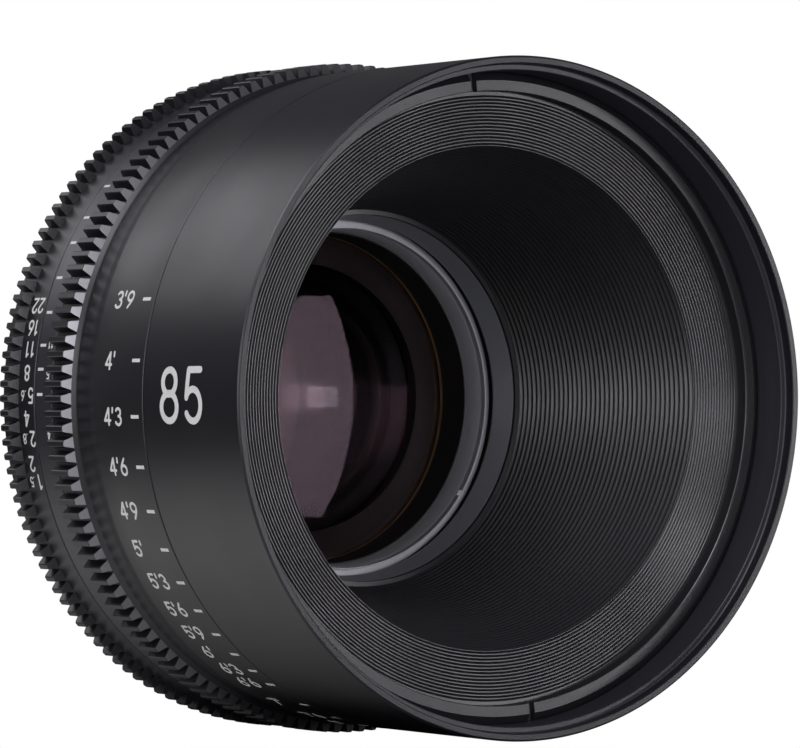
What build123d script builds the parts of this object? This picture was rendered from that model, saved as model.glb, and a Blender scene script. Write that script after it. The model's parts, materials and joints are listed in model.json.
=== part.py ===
from build123d import *
from math import asin, atan2, cos, degrees, hypot, pi, radians, sin, sqrt
import os

# Cinema prime lens for a large image circle, in millimetres.
# The optical axis runs along Y and the front of the lens faces -Y. +Z is up.
# The origin is the centre of the flange seat, the face that meets the camera.
# "depth" always means the distance behind the front rim, at the rest pose:
# focus ring at its index and iris ring at the middle of its scale.

os.makedirs("parts", exist_ok=True)

# Outer barrels, from the front rim back
front_diameter = 114.0
front_barrel_length = 29.7
focus_ring_length = 30.1
index_ring_length = 5.8
iris_ring_length = 9.4
rear_housing_length = 14.6
seam_gap = 0.3
edge_chamfer = 0.35

# Fits and small clearances
running_fit = 0.05
seat_fit = 0.02
working_gap = 0.3
cut_overrun = 1.0

# Follow-focus gears
gear_module = 0.8
gear_teeth = 145
gear_depth_share = 2.25
tooth_tip_width = 1.05
tooth_root_width = 2.0
tooth_end_slope = 0.48
focus_gear_width = 6.43
iris_gear_width = 3.9
gear_back_chamfer = 0.5

# Front barrel bore and clamping web
rim_face_width = 1.3
rim_step_depth = 2.05
rim_step_width = 1.0
baffle_seat_depth = 10.17
baffle_flange_thickness = 2.0
baffle_ledge_width = 2.1
front_web_depth = 20.0
front_web_thickness = 3.0
tongue_length = 2.0
tongue_wall = 2.4

# Baffle retaining ring
baffle_ring_front_depth = 7.83
baffle_ring_bore_radius = 51.5
baffle_ring_face_width = 1.85
baffle_ring_bevel_depth = 0.87
spanner_slot_width = 1.05
spanner_slot_depth = 1.2
spanner_slot_turn = 83.0

# Light baffle
baffle_mouth_radius = 42.48
baffle_mouth_sink = 0.82
baffle_throat_radius = 33.0
baffle_wall = 1.3
face_ridges = 15
face_ridge_height = 0.3
face_first_land_share = 0.05
cone_ridges = 38
cone_ridge_height = 0.42
lip_radius = 31.3
lip_step = 0.8
lip_length = 6.0
baffle_to_cell_gap = 3.4
thread_ridges = 12
thread_ridge_height = 0.14
thread_start = 0.45
thread_length = 5.0
lip_notch_width = 0.9
lip_notch_turn = -146.0

# Core barrel
core_outer_radius = 47.0
core_wall = 2.0
core_flange_width = 5.2
core_flange_thickness = 3.5
core_shoulder_width = 4.5
core_tail_land_width = 2.8
core_tail_flange_width = 5.2
core_tail_flange_thickness = 5.0
core_tail_reach = 5.8
washer_thickness = 0.5
washer_width = 2.5

# Focus ring and its groove in front of the gear
focus_bore_radius = 53.4
focus_edge_taper_length = 2.9
focus_groove_depth = 0.7
focus_taper_start = 16.1
focus_rib_width = 3.8
focus_rib_thickness = 3.0
cam_flange_thickness = 3.1
cam_sleeve_wall = 1.95

# Focus drive
focus_close_angle = 20.3
focus_far_angle = 179.7
focus_lead = 14.07
followers = 3
follower_radius = 1.5
follower_shank_radius = 1.0
follower_inset = 4.5
follower_stop_gap = 0.1

# Index ring
index_wall = 3.0
index_web_sink = 0.5
index_web_thickness = 3.0

# Iris ring and its drive
iris_bore_radius = 53.4
iris_web_sink = 3.5
iris_web_thickness = 4.0
iris_open_angle = 15.4
iris_closed_angle = 16.1
arm_width = 8.0
arm_inner_radius = 35.2
arm_outer_radius = 51.0
arm_window_margin = 0.5
arm_foot_inner_radius = 50.0
arm_foot_outer_radius = 53.2
arm_foot_thickness = 1.3
arm_foot_sweep = 24.0
arm_screw_turn = 8.5
arm_screw_radius = 51.6
link_bar_width = 4.0
link_bar_inner_radius = 35.8
link_bar_thickness = 2.6
link_bar_end_gap = 0.4
link_turn = 120.0

# Stop pins and the grooves they run in
stop_pin_radius = 1.0
stop_pin_reach = 1.3
stop_pin_seat = 3.0
focus_stop_circle = 54.6
focus_stop_turn = -40.0
iris_stop_circle = 50.8
iris_stop_turn = -90.0

# Rear housing and mount
housing_front_wall = 1.98
housing_front_band = 6.2
housing_back_radius = 44.5
housing_back_band = 2.4
housing_back_bore = 39.2
housing_web_thickness = 2.0
housing_screw_sink = 3.2
shim_thickness = 0.2
mount_base_thickness = 3.0
mount_base_recess = 1.5
mount_recess_radius = 33.5
mount_screw_inset = 2.7
mount_neck_radius = 29.5
mount_neck_length = 4.0
tab_radius = 34.0
tab_thickness = 3.0
tab_sweep = 58.0
tabs = 4
tab_notch_width = 3.2
tab_notch_depth = 2.0
register_radius = 26.99
register_length = 11.5
mount_bore_radius = 25.2
register_chamfer = 0.6

# Moving optical block
skirt_length = 24.4
skirt_wall = 2.0
cell_to_arm_gap = 0.6
cell_web_thickness = 3.0
front_cell_radius = 34.5
front_cell_flange_radius = 38.5
front_cell_flange_thickness = 1.6
front_cell_screw_circle = 36.5
front_cell_shell_length = 15.2
front_cell_ledge_reach = 13.0
front_cell_waist_radius = 26.5
front_cell_tail_reach = 20.1
front_cell_tail_radius = 29.0
front_cell_length = 22.8
front_cell_lip_radius = 16.9
element_ring_length = 5.7
element_ring_reach = 2.6
element_ring_snout_radius = 30.2
element_ring_bore_front = 29.9
element_ring_bore_back = 29.5
element_ring_thread_radius = 31.8
element_ring_slot_width = 1.2
element_ring_slot_depth = 1.0
sleeve_bore_radius = 29.3
front_spacer_bore = 23.2

# Rear cell
rear_cell_throat_radius = 24.9
rear_cell_spigot_radius = 22.6
rear_cell_spigot_length = 4.0
rear_cell_collar_length = 1.8
rear_cell_radius = 21.0
rear_cell_recess = 2.4
rear_cell_lip_radius = 15.2
rear_spacer_wall = 1.5
rear_ring_bore = 15.9
rear_ring_sink = 0.3

# Iris diaphragm
blades = 11
blade_thickness = 0.12
blade_pitch = 0.17
blade_inner_radius = 15.6
blade_outer_radius = 21.0
blade_sweep = 95.0
blade_tail_sweep = 3.0
blade_ear_radius = 1.2
blade_root_radius = 19.6
blade_root_turn = 4.0
blade_swing = 38.6
pivot_circle_radius = 21.9
pivot_pin_radius = 0.6
pivot_pin_reach = 0.7
drive_pin_radius = 0.5
drive_arm_length = 3.5
iris_cavity_radius = 23.7
iris_cavity_length = 3.4
iris_wall_thickness = 1.2
iris_plate_bore_radius = 15.5
iris_flange_thickness = 2.6
iris_screw_circle = 27.2
iris_window_length = 1.4
cam_ring_front_gap = 0.1
cam_ring_thickness = 1.0
cam_ring_inner_radius = 16.9
cam_blade_gap = 0.25
lever_width = 5.0
fork_width = 7.2
fork_root_radius = 33.5
fork_floor_radius = 35.4
fork_tip_radius = 38.6
slot_segments = 8

# Glass elements: front curvature, centre thickness, back curvature, edge
# radius, clear radius in front, clear radius behind and how far the front
# vertex lies behind the cell web. A positive curvature bulges towards the
# front of the lens.
glass = {
    "lens_1": (62.0, 6.8, 190.0, 31.0, 31.0, 31.0, 3.2),
    "lens_2": (48.0, 6.6, 300.0, 24.5, 24.5, 24.5, 10.3),
    "lens_3": (300.0, 1.4, 38.0, 24.5, 24.5, 16.5, 16.9),
    "lens_4": (-32.0, 1.8, 60.0, 17.5, 15.0, 17.5, 32.0),
    "lens_5": (60.0, 7.6, -42.0, 17.5, 17.5, 17.5, 33.8),
    "lens_6": (110.0, 4.6, -90.0, 17.5, 17.5, 17.5, 41.8),
    "lens_7": (85.0, 4.0, 400.0, 17.5, 17.5, 17.5, 46.8),
}

# Screws: shank radius, shank length, head radius, head height and number
screw_kinds = {
    "front": (1.25, 5.5, 2.2, 1.4, 6),
    "index": (1.0, 4.5, 1.9, 1.1, 6),
    "cam": (1.0, 5.0, 1.9, 1.1, 6),
    "housing": (1.0, 5.0, 2.0, 1.1, 6),
    "mount": (1.0, 5.5, 2.0, 1.2, 8),
    "cell": (0.8, 3.4, 1.4, 0.8, 6),
    "iris": (0.6, 3.4, 1.0, 0.6, 6),
    "arm": (0.7, 2.8, 1.2, 0.7, 2),
}
socket_depth_share = 0.5
socket_width_share = 0.8

# Derived depths of the outer barrels
focus_front = front_barrel_length + seam_gap
focus_back = focus_front + focus_ring_length
index_front = focus_back + seam_gap
index_back = index_front + index_ring_length
iris_front = index_back + seam_gap
iris_back = iris_front + iris_ring_length
housing_front = iris_back + seam_gap
housing_back = housing_front + rear_housing_length
mount_front = housing_back + shim_thickness
mount_base_back = mount_front + mount_base_thickness
tab_front = mount_base_back + mount_neck_length
front_to_flange = tab_front + tab_thickness

# Derived radii
barrel_radius = front_diameter / 2
gear_tip_radius = gear_module * (gear_teeth + 2) / 2
gear_root_radius = gear_tip_radius - gear_depth_share * gear_module
rim_bore_radius = barrel_radius - rim_face_width
ring_seat_radius = rim_bore_radius - rim_step_width
barrel_bore_radius = ring_seat_radius - baffle_ledge_width
core_inner_radius = core_outer_radius - core_wall
cam_bore_radius = core_outer_radius + running_fit
cam_outer_radius = cam_bore_radius + cam_sleeve_wall
skirt_radius = core_inner_radius - running_fit
washer_radius = cam_bore_radius + washer_width

# Derived travel
lead_per_degree = focus_lead / 360
close_travel = focus_close_angle * lead_per_degree
far_travel = focus_far_angle * lead_per_degree

# Derived depths of the moving block, which clears the iris arm when it is
# furthest back, and of the baffle, which ends in front of it
arm_front = iris_front + iris_web_sink
cell_web_depth = arm_front - cell_to_arm_gap - far_travel - cell_web_thickness
cell_flange_front = cell_web_depth - front_cell_flange_thickness
front_cell_shell_back = cell_web_depth + front_cell_shell_length
front_cell_ledge_depth = cell_web_depth + front_cell_ledge_reach
front_cell_tail_depth = cell_web_depth + front_cell_tail_reach
front_cell_back_depth = cell_web_depth + front_cell_length
element_ring_back_depth = cell_web_depth + element_ring_reach
element_ring_front_depth = element_ring_back_depth - element_ring_length
skirt_front_depth = cell_web_depth + cell_web_thickness - skirt_length
follower_depth = skirt_front_depth + follower_inset
baffle_throat_depth = cell_web_depth - baffle_to_cell_gap - lip_length
rear_cell_back_depth = cell_web_depth + glass["lens_7"][6] + glass["lens_7"][1] + rear_cell_recess


def along(depth):
    return depth - front_to_flange


# Solids turned about the lens axis, from (radius, depth) points
def turned(*outline):
    points = [(radius, along(depth)) for radius, depth in outline]
    return revolve(make_face(Polyline(*points, close=True)), Axis.Y)


def ring(inner, outer, front, back):
    return turned((inner, front), (outer, front), (outer, back), (inner, back))


# A plane square to the axis: its X is +Z and its Y is +X, so that turning
# counterclockwise in the sketch is a positive turn about +Y
def across(depth):
    return Plane(origin=(0, along(depth), 0), x_dir=(0, 0, 1), z_dir=(0, 1, 0))


def prism(sketch, front, back):
    return extrude(across(front) * sketch, back - front)


# Scale angles start at -X and grow towards +Z, as seen on the marked side
def sketch_angle(scale_angle):
    return scale_angle - 90


def polar(radius, angle):
    return (radius * cos(radians(angle)), radius * sin(radians(angle)))


def bar(inner, outer, width, angle):
    middle = (inner + outer) / 2
    return Rot(0, 0, angle) * Pos(middle, 0) * Rectangle(outer - inner, width)


def round_bars(radius, angles, size, front, back):
    return [prism(Pos(*polar(radius, angle)) * Circle(size), front, back) for angle in angles]


def evenly(count, start=0):
    return [start + 360 * k / count for k in range(round(count))]


# Countersunk screws parallel to the axis. "way" is 1 when the shank points
# to the rear and -1 when it points to the front.
def screws(kind, circle, angles, head_depth, way):
    shank_radius, shank_length, head_radius, head_height, count = screw_kinds[kind]
    neck = head_depth + way * head_height
    tip = head_depth + way * shank_length
    floor = head_depth + way * head_height * socket_depth_share
    made = []
    for angle in angles:
        place = Pos(*polar(circle, angle))
        cone = loft([across(head_depth) * place * Circle(head_radius),
                     across(neck) * place * Circle(shank_radius)])
        shank = prism(place * Circle(shank_radius), min(neck, tip), max(neck, tip))
        socket = prism(place * RegularPolygon(shank_radius * socket_width_share, 6),
                       min(head_depth, floor), max(head_depth, floor))
        made.append(cone + shank - socket)
    return made


# The holes for those screws, wider by the seat fit
def screw_holes(kind, circle, angles, head_depth, way):
    shank_radius, shank_length, head_radius, head_height, count = screw_kinds[kind]
    neck = head_depth + way * head_height
    tip = head_depth + way * (shank_length + working_gap)
    made = []
    for angle in angles:
        place = Pos(*polar(circle, angle))
        cone = loft([across(head_depth) * place * Circle(head_radius + seat_fit),
                     across(neck) * place * Circle(shank_radius + seat_fit)])
        shank = prism(place * Circle(shank_radius + seat_fit), min(neck, tip), max(neck, tip))
        made.append(cone + shank)
    return made


def group(solids):
    return Compound(children=[solid for solid in solids])


# The same for countersunk screws that point at the axis
def radial_screws(kind, head_circle, angles, depth):
    shank_radius, shank_length, head_radius, head_height, count = screw_kinds[kind]
    neck = head_circle - head_height
    made = []
    for angle in angles:
        cone = loft([facing(angle, head_circle, depth) * Circle(head_radius),
                     facing(angle, neck, depth) * Circle(shank_radius)])
        shank = extrude(facing(angle, head_circle - shank_length, depth) * Circle(shank_radius),
                        shank_length - head_height)
        floor = head_circle - head_height * socket_depth_share
        socket = extrude(facing(angle, floor, depth) * RegularPolygon(shank_radius * socket_width_share, 6),
                         head_height)
        made.append(cone + shank - socket)
    return made


def radial_screw_holes(kind, head_circle, angles, depth):
    shank_radius, shank_length, head_radius, head_height, count = screw_kinds[kind]
    neck = head_circle - head_height
    tip = head_circle - shank_length - working_gap
    made = []
    for angle in angles:
        cone = loft([facing(angle, head_circle, depth) * Circle(head_radius + seat_fit),
                     facing(angle, neck, depth) * Circle(shank_radius + seat_fit)])
        shank = extrude(facing(angle, tip, depth) * Circle(shank_radius + seat_fit), neck - tip)
        mouth = extrude(facing(angle, head_circle, depth) * Circle(head_radius + seat_fit), cut_overrun)
        made.append(cone + shank + mouth)
    return made


# A plane at some radius that faces outwards, with its X along the lens axis
def facing(angle, radius, depth):
    out = (sin(radians(angle)), 0, cos(radians(angle)))
    return Plane(origin=(out[0] * radius, along(depth), out[2] * radius), x_dir=(0, 1, 0), z_dir=out)


def screw_angles(kind, start=0):
    return evenly(screw_kinds[kind][-1], start)


# Tooth gaps of a follow-focus gear, cut along the axis
def tooth_gaps(front, back):
    root_pitch = 2 * pi * gear_root_radius / gear_teeth
    tip_pitch = 2 * pi * gear_tip_radius / gear_teeth
    root_gap = root_pitch - tooth_root_width
    tip_gap = tip_pitch - tooth_tip_width
    slope = (tip_gap - root_gap) / (gear_tip_radius - gear_root_radius)
    outer = gear_tip_radius + cut_overrun
    outer_gap = tip_gap + slope * cut_overrun
    outline = Polyline((gear_root_radius, root_gap / 2), (outer, outer_gap / 2),
                       (outer, -outer_gap / 2), (gear_root_radius, -root_gap / 2), close=True)
    gap = make_face(outline)
    return [prism(Rot(0, 0, angle) * gap, front, back) for angle in evenly(gear_teeth)]


# Front barrel
barrel_flange_bore = core_outer_radius - core_wall + seat_fit
tongue_inner_radius = barrel_bore_radius
tongue_outer_radius = tongue_inner_radius + tongue_wall
front_web_back = front_web_depth + front_web_thickness
front_screw_circle = (core_outer_radius + core_outer_radius + core_flange_width) / 2


def front_barrel():
    ledge_depth = baffle_seat_depth + baffle_flange_thickness
    body = turned(
        (barrel_radius - edge_chamfer, 0),
        (barrel_radius, edge_chamfer),
        (barrel_radius, front_barrel_length),
        (tongue_outer_radius, front_barrel_length),
        (tongue_outer_radius, front_barrel_length + tongue_length),
        (tongue_inner_radius, front_barrel_length + tongue_length),
        (tongue_inner_radius, front_web_back),
        (barrel_flange_bore, front_web_back),
        (barrel_flange_bore, front_web_depth),
        (barrel_bore_radius, front_web_depth),
        (barrel_bore_radius, ledge_depth),
        (ring_seat_radius, ledge_depth),
        (ring_seat_radius, rim_step_depth),
        (rim_bore_radius, rim_step_depth),
        (rim_bore_radius, 0),
    )
    holes = screw_holes("front", front_screw_circle, screw_angles("front"), front_web_depth, 1)
    return body - holes


# Baffle retaining ring with two spanner slots
def baffle_ring():
    outer = ring_seat_radius - running_fit
    bevel_inner = baffle_ring_bore_radius + baffle_ring_face_width
    body = turned(
        (baffle_ring_bore_radius, baffle_ring_front_depth),
        (bevel_inner, baffle_ring_front_depth),
        (outer, baffle_ring_front_depth + baffle_ring_bevel_depth),
        (outer, baffle_seat_depth),
        (baffle_ring_bore_radius, baffle_seat_depth),
    )
    slots = [
        prism(bar(baffle_ring_bore_radius - cut_overrun, ring_seat_radius, spanner_slot_width,
                  sketch_angle(spanner_slot_turn + half_turn)),
              baffle_ring_front_depth - cut_overrun, baffle_ring_front_depth + spanner_slot_depth)
        for half_turn in (0, 180)
    ]
    return body - slots


# Light baffle: a ridged face, a ridged cone and a threaded lip. Each ridge is
# a crest on the line from start to end, with a valley shifted by the relief.
def ridges(start, end, count, relief, first_land_share=0):
    points = [start]
    for k in range(count):
        crest = first_land_share + (1 - first_land_share) * k / count
        valley = crest + (1 - first_land_share) / 2 / count
        if k == 0 and first_land_share > 0:
            points.append(between(start, end, crest))
        low = between(start, end, valley)
        points.append((low[0] + relief[0], low[1] + relief[1]))
        points.append(between(start, end, crest + (1 - first_land_share) / count))
    return points


def between(start, end, share):
    return tuple(a + (b - a) * share for a, b in zip(start, end))


def light_baffle():
    flange_radius = ring_seat_radius - seat_fit
    face_outer = baffle_ring_bore_radius - 2 * seat_fit
    mouth_depth = baffle_seat_depth + baffle_mouth_sink
    face = ridges((face_outer, baffle_seat_depth), (baffle_mouth_radius, mouth_depth),
                  face_ridges, (0, face_ridge_height), face_first_land_share)
    cone = ridges((baffle_mouth_radius, mouth_depth), (baffle_throat_radius, baffle_throat_depth),
                  cone_ridges, (cone_ridge_height, 0))
    lip_start = baffle_throat_radius - lip_step
    thread_front = baffle_throat_depth + thread_start
    thread_back = thread_front + thread_length
    thread = ridges((lip_start, thread_front), (lip_radius, thread_back),
                    thread_ridges, (thread_ridge_height, 0))
    lip_back = baffle_throat_depth + lip_length
    flange_back = baffle_seat_depth + baffle_flange_thickness
    web_back = flange_back + baffle_wall
    outline = (
        [(flange_radius, baffle_seat_depth)] + face + cone[1:]
        + [(lip_start, baffle_throat_depth)] + thread
        + [(lip_radius, lip_back),
           (lip_radius + lip_step + baffle_wall, lip_back),
           (baffle_throat_radius + 2 * baffle_wall, baffle_throat_depth),
           (baffle_mouth_radius + baffle_wall, web_back),
           (barrel_bore_radius - seat_fit, web_back),
           (barrel_bore_radius - seat_fit, flange_back),
           (flange_radius, flange_back)]
    )
    notch_outer = lip_radius + lip_step + baffle_wall + cut_overrun
    notches = [
        prism(bar(lip_radius - cut_overrun, notch_outer, lip_notch_width,
                  sketch_angle(lip_notch_turn + half_turn)),
              lip_back - spanner_slot_depth / 2, lip_back + cut_overrun)
        for half_turn in (0, 180)
    ]
    return turned(*outline) - notches


# Core barrel that carries every outer ring
core_front = front_web_back
index_web_front = index_front + index_web_sink
index_web_back = index_web_front + index_web_thickness
arm_back = arm_front + iris_web_thickness
shoulder_back = arm_front - working_gap - washer_thickness
shoulder_radius = core_outer_radius + core_shoulder_width
tail_radius = core_outer_radius + core_tail_flange_width
housing_front_radius = tail_radius + seat_fit + housing_front_wall
mount_base_radius = housing_back_radius
mount_screw_circle = mount_base_radius - mount_screw_inset
land_radius = core_outer_radius + core_tail_land_width
core_back = housing_front + core_tail_reach
tail_front = core_back - core_tail_flange_thickness
land_front = arm_back + working_gap + washer_thickness
index_screw_circle = core_outer_radius + core_shoulder_width / 2
cam_screw_circle = (cam_outer_radius + focus_bore_radius) / 2
housing_screw_depth = housing_front + housing_screw_sink
follower_angles = evenly(followers, 90)
arm_half_turn = degrees(asin(arm_width / 2 / core_inner_radius) + arm_window_margin / core_inner_radius)


def core_barrel():
    flange_radius = core_outer_radius + core_flange_width
    body = turned(
        (core_inner_radius, core_front),
        (flange_radius, core_front),
        (flange_radius, core_front + core_flange_thickness),
        (core_outer_radius, core_front + core_flange_thickness),
        (core_outer_radius, index_web_back),
        (shoulder_radius, index_web_back),
        (shoulder_radius, shoulder_back),
        (core_outer_radius, shoulder_back),
        (core_outer_radius, land_front),
        (land_radius, land_front),
        (land_radius, tail_front),
        (tail_radius, tail_front),
        (tail_radius, core_back),
        (core_inner_radius, core_back),
    )
    body -= screw_holes("front", front_screw_circle, screw_angles("front"), front_web_depth, 1)
    body -= screw_holes("index", index_screw_circle, screw_angles("index"), index_web_front, 1)
    body -= radial_screw_holes("housing", housing_front_radius, screw_angles("housing"), housing_screw_depth)
    body -= round_bars(iris_stop_circle, [iris_stop_turn], stop_pin_radius + seat_fit,
                       tail_front - cut_overrun, tail_front + stop_pin_seat)
    inner = core_inner_radius - cut_overrun
    outer = core_outer_radius + cut_overrun
    slot_front = follower_depth - close_travel - follower_stop_gap
    slot_back = follower_depth + far_travel + follower_stop_gap
    for angle in follower_angles:
        body -= radial_slot(angle, inner, outer, follower_radius + running_fit, slot_front, slot_back)
    start = link_turn - iris_closed_angle - arm_half_turn
    swing = iris_open_angle + iris_closed_angle + 2 * arm_half_turn
    body -= sector(inner, outer, start, swing, arm_front - arm_window_margin, arm_back + arm_window_margin)
    return body


# A round-ended slot that points outwards, long in the direction of the axis
def radial_slot(angle, inner, outer, half_width, front, back):
    plane = facing(angle, inner, (front + back) / 2)
    if front == back:
        return extrude(plane * Circle(half_width), outer - inner)
    return extrude(plane * SlotCenterToCenter(back - front, 2 * half_width), outer - inner)


# Part of a ring between two angles
def sector(inner, outer, start, turn, front, back):
    return prism(annulus_part(inner, outer, start, turn), front, back)


def annulus_part(inner, outer, start, turn):
    first = polar(1, start)
    middle = polar(1, start + turn / 2)
    last = polar(1, start + turn)
    edge = Curve() + [
        ThreePointArc(scaled(first, outer), scaled(middle, outer), scaled(last, outer)),
        Line(scaled(last, outer), scaled(last, inner)),
        ThreePointArc(scaled(last, inner), scaled(middle, inner), scaled(first, inner)),
        Line(scaled(first, inner), scaled(first, outer)),
    ]
    return make_face(edge)


def scaled(point, size):
    return (point[0] * size, point[1] * size)


# Focus ring with its groove and gear
gear_front = focus_back - focus_gear_width
cam_flange_front = focus_back - cam_flange_thickness


def focus_ring():
    taper_front = focus_front + focus_taper_start
    taper_back = taper_front + focus_edge_taper_length
    groove_radius = barrel_radius - focus_groove_depth
    counterbore = tongue_outer_radius + working_gap
    counterbore_back = front_barrel_length + tongue_length + working_gap
    rib_radius = focus_bore_radius - focus_rib_width
    rib_front = cam_flange_front - focus_rib_thickness
    body = turned(
        (counterbore, focus_front),
        (barrel_radius, focus_front),
        (barrel_radius, taper_front),
        (groove_radius, taper_back),
        (groove_radius, gear_front - focus_groove_depth),
        (gear_root_radius, gear_front),
        (gear_tip_radius, gear_front + tooth_end_slope),
        (gear_tip_radius, focus_back - gear_back_chamfer),
        (gear_tip_radius - gear_back_chamfer, focus_back),
        (focus_bore_radius, focus_back),
        (focus_bore_radius, cam_flange_front),
        (rib_radius, cam_flange_front),
        (rib_radius, rib_front),
        (focus_bore_radius, rib_front),
        (focus_bore_radius, counterbore_back),
        (counterbore, counterbore_back),
    )
    body -= screw_holes("cam", cam_screw_circle, screw_angles("cam"), focus_back, -1)
    body -= stop_groove(focus_stop_circle, focus_stop_turn, focus_far_angle, focus_close_angle, focus_back)
    return body - tooth_gaps(gear_front - cut_overrun, focus_back + cut_overrun)


# The groove that a fixed stop pin runs in, seen from the turning ring, cut
# into its back face. The ring turns "forward" and "backward" by these angles.
def stop_groove(circle, pin_turn, forward, backward, back):
    half_width = stop_pin_radius + working_gap
    half_turn = degrees(half_width / circle)
    floor = back - stop_pin_reach - working_gap
    return sector(circle - half_width, circle + half_width, pin_turn - forward - half_turn,
                  forward + backward + 2 * half_turn, floor, back + cut_overrun)


# Cam sleeve: helical slots turn the focus ring's turn into a slide
def helical_slot(angle):
    half_width = follower_radius + running_fit
    inner = cam_bore_radius - cut_overrun
    outer = cam_outer_radius + cut_overrun
    turn = focus_close_angle + focus_far_angle
    front = follower_depth - close_travel
    start = angle + focus_close_angle
    path = Helix(pitch=focus_lead, height=turn * lead_per_degree, radius=(inner + outer) / 2, lefthand=True)
    path = across(front) * Rot(0, 0, start) * path
    mouth = Plane(origin=path @ 0, x_dir=facing(start, 1, front).z_dir, z_dir=path % 0)
    slot = sweep(mouth * Rectangle(outer - inner, 2 * half_width), path=path, is_frenet=True)
    back = front + turn * lead_per_degree
    ends = [radial_slot(start, inner, outer, half_width, front, front),
            radial_slot(start - turn, inner, outer, half_width, back, back)]
    return [slot] + ends


def cam_sleeve():
    flange_radius = focus_bore_radius - seat_fit
    sleeve_front = core_front + core_flange_thickness + washer_thickness + working_gap
    body = turned(
        (cam_bore_radius, sleeve_front),
        (cam_outer_radius, sleeve_front),
        (cam_outer_radius, cam_flange_front),
        (flange_radius, cam_flange_front),
        (flange_radius, focus_back),
        (cam_bore_radius, focus_back),
    )
    body -= screw_holes("cam", cam_screw_circle, screw_angles("cam"), focus_back, -1)
    for angle in follower_angles:
        for cutter in helical_slot(angle):
            body -= cutter
    return body


# Followers: rollers on stepped pins that ride in the core and cam slots
def cam_followers():
    made = []
    for angle in follower_angles:
        roller = radial_slot(angle, skirt_radius, cam_outer_radius, follower_radius,
                             follower_depth, follower_depth)
        shank = radial_slot(angle, skirt_radius - skirt_wall, skirt_radius, follower_shank_radius,
                            follower_depth, follower_depth)
        made.append(roller + shank)
    return group(made)


# Index ring
def index_ring():
    shell_bore = barrel_radius - index_wall
    bore = core_outer_radius + seat_fit
    body = turned(
        (shell_bore, index_front),
        (barrel_radius, index_front),
        (barrel_radius, index_back),
        (shell_bore, index_back),
        (shell_bore, index_web_back),
        (bore, index_web_back),
        (bore, index_web_front),
        (shell_bore, index_web_front),
    )
    body -= screw_holes("index", index_screw_circle, screw_angles("index"), index_web_front, 1)
    return body - round_bars(focus_stop_circle, [focus_stop_turn], stop_pin_radius + seat_fit,
                             index_front - cut_overrun, index_front + stop_pin_seat)


def focus_stop_pin():
    return round_bars(focus_stop_circle, [focus_stop_turn], stop_pin_radius,
                      focus_back - stop_pin_reach, index_front + stop_pin_seat)[0]


def iris_stop_pin():
    return round_bars(iris_stop_circle, [iris_stop_turn], stop_pin_radius,
                      arm_back - stop_pin_reach, tail_front + stop_pin_seat)[0]


# Slip washers on each side of the two turning rings
def focus_washer_front():
    front = core_front + core_flange_thickness
    return ring(cam_bore_radius, washer_radius, front, front + washer_thickness)


def focus_washer_rear():
    return ring(cam_bore_radius, washer_radius, index_web_front - washer_thickness, index_web_front)


def iris_washer_front():
    return ring(cam_bore_radius, washer_radius, shoulder_back, shoulder_back + washer_thickness)


def iris_washer_rear():
    return ring(cam_bore_radius, washer_radius, land_front - washer_thickness, land_front)


# Iris ring and the arm that drives the diaphragm
def iris_ring():
    web_bore = core_outer_radius + running_fit
    gear_land = iris_back - iris_gear_width
    body = turned(
        (iris_bore_radius, iris_front),
        (barrel_radius, iris_front),
        (barrel_radius, gear_land),
        (gear_tip_radius, gear_land + tooth_end_slope / 2),
        (gear_tip_radius, iris_back - gear_back_chamfer),
        (gear_tip_radius - gear_back_chamfer, iris_back),
        (iris_bore_radius, iris_back),
        (iris_bore_radius, arm_back),
        (web_bore, arm_back),
        (web_bore, arm_front),
        (iris_bore_radius, arm_front),
    )
    arm_slot = bar(web_bore - cut_overrun, arm_outer_radius + seat_fit, arm_width + 2 * seat_fit, link_turn)
    body -= prism(arm_slot, arm_front - cut_overrun, arm_back + cut_overrun)
    body -= stop_groove(iris_stop_circle, iris_stop_turn, iris_open_angle, iris_closed_angle, arm_back)
    body -= screw_holes("arm", arm_screw_radius, arm_screw_angles(), arm_back + arm_foot_thickness, -1)
    return body - tooth_gaps(gear_land - cut_overrun, iris_back + cut_overrun)


def arm_screw_angles():
    return [link_turn - arm_screw_turn, link_turn + arm_screw_turn]


def iris_drive_arm():
    body = prism(bar(arm_inner_radius, arm_outer_radius, arm_width, link_turn), arm_front, arm_back)
    body += sector(arm_foot_inner_radius, arm_foot_outer_radius, link_turn - arm_foot_sweep / 2,
                   arm_foot_sweep, arm_back, arm_back + arm_foot_thickness)
    body -= screw_holes("arm", arm_screw_radius, arm_screw_angles(), arm_back + arm_foot_thickness, -1)
    return body - prism(bar(link_bar_inner_radius, link_bar_inner_radius + link_bar_thickness,
                            link_bar_width + 2 * seat_fit, link_turn),
                        arm_front - cut_overrun, arm_back + cut_overrun)


def iris_link_bar():
    return prism(bar(link_bar_inner_radius, link_bar_inner_radius + link_bar_thickness,
                     link_bar_width, link_turn), arm_front, mount_front - link_bar_end_gap)


# Rear housing
def rear_housing():
    cone_front = housing_front + housing_front_band
    cone_back = housing_back - housing_back_band
    seat_radius = tail_radius + seat_fit
    web_back = core_back + housing_web_thickness
    body = turned(
        (seat_radius, housing_front),
        (housing_front_radius, housing_front),
        (housing_front_radius, cone_front),
        (housing_back_radius, cone_back),
        (housing_back_radius, housing_back),
        (housing_back_bore, housing_back),
        (housing_back_bore, cone_back),
        (core_inner_radius, web_back),
        (core_inner_radius, core_back),
        (seat_radius, core_back),
    )
    body -= radial_screw_holes("housing", housing_front_radius, screw_angles("housing"), housing_screw_depth)
    return body - screw_holes("mount", mount_screw_circle, mount_screw_angles(), mount_base_back, -1)


def mount_screw_angles():
    return screw_angles("mount", 180 / screw_kinds["mount"][-1])


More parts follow.
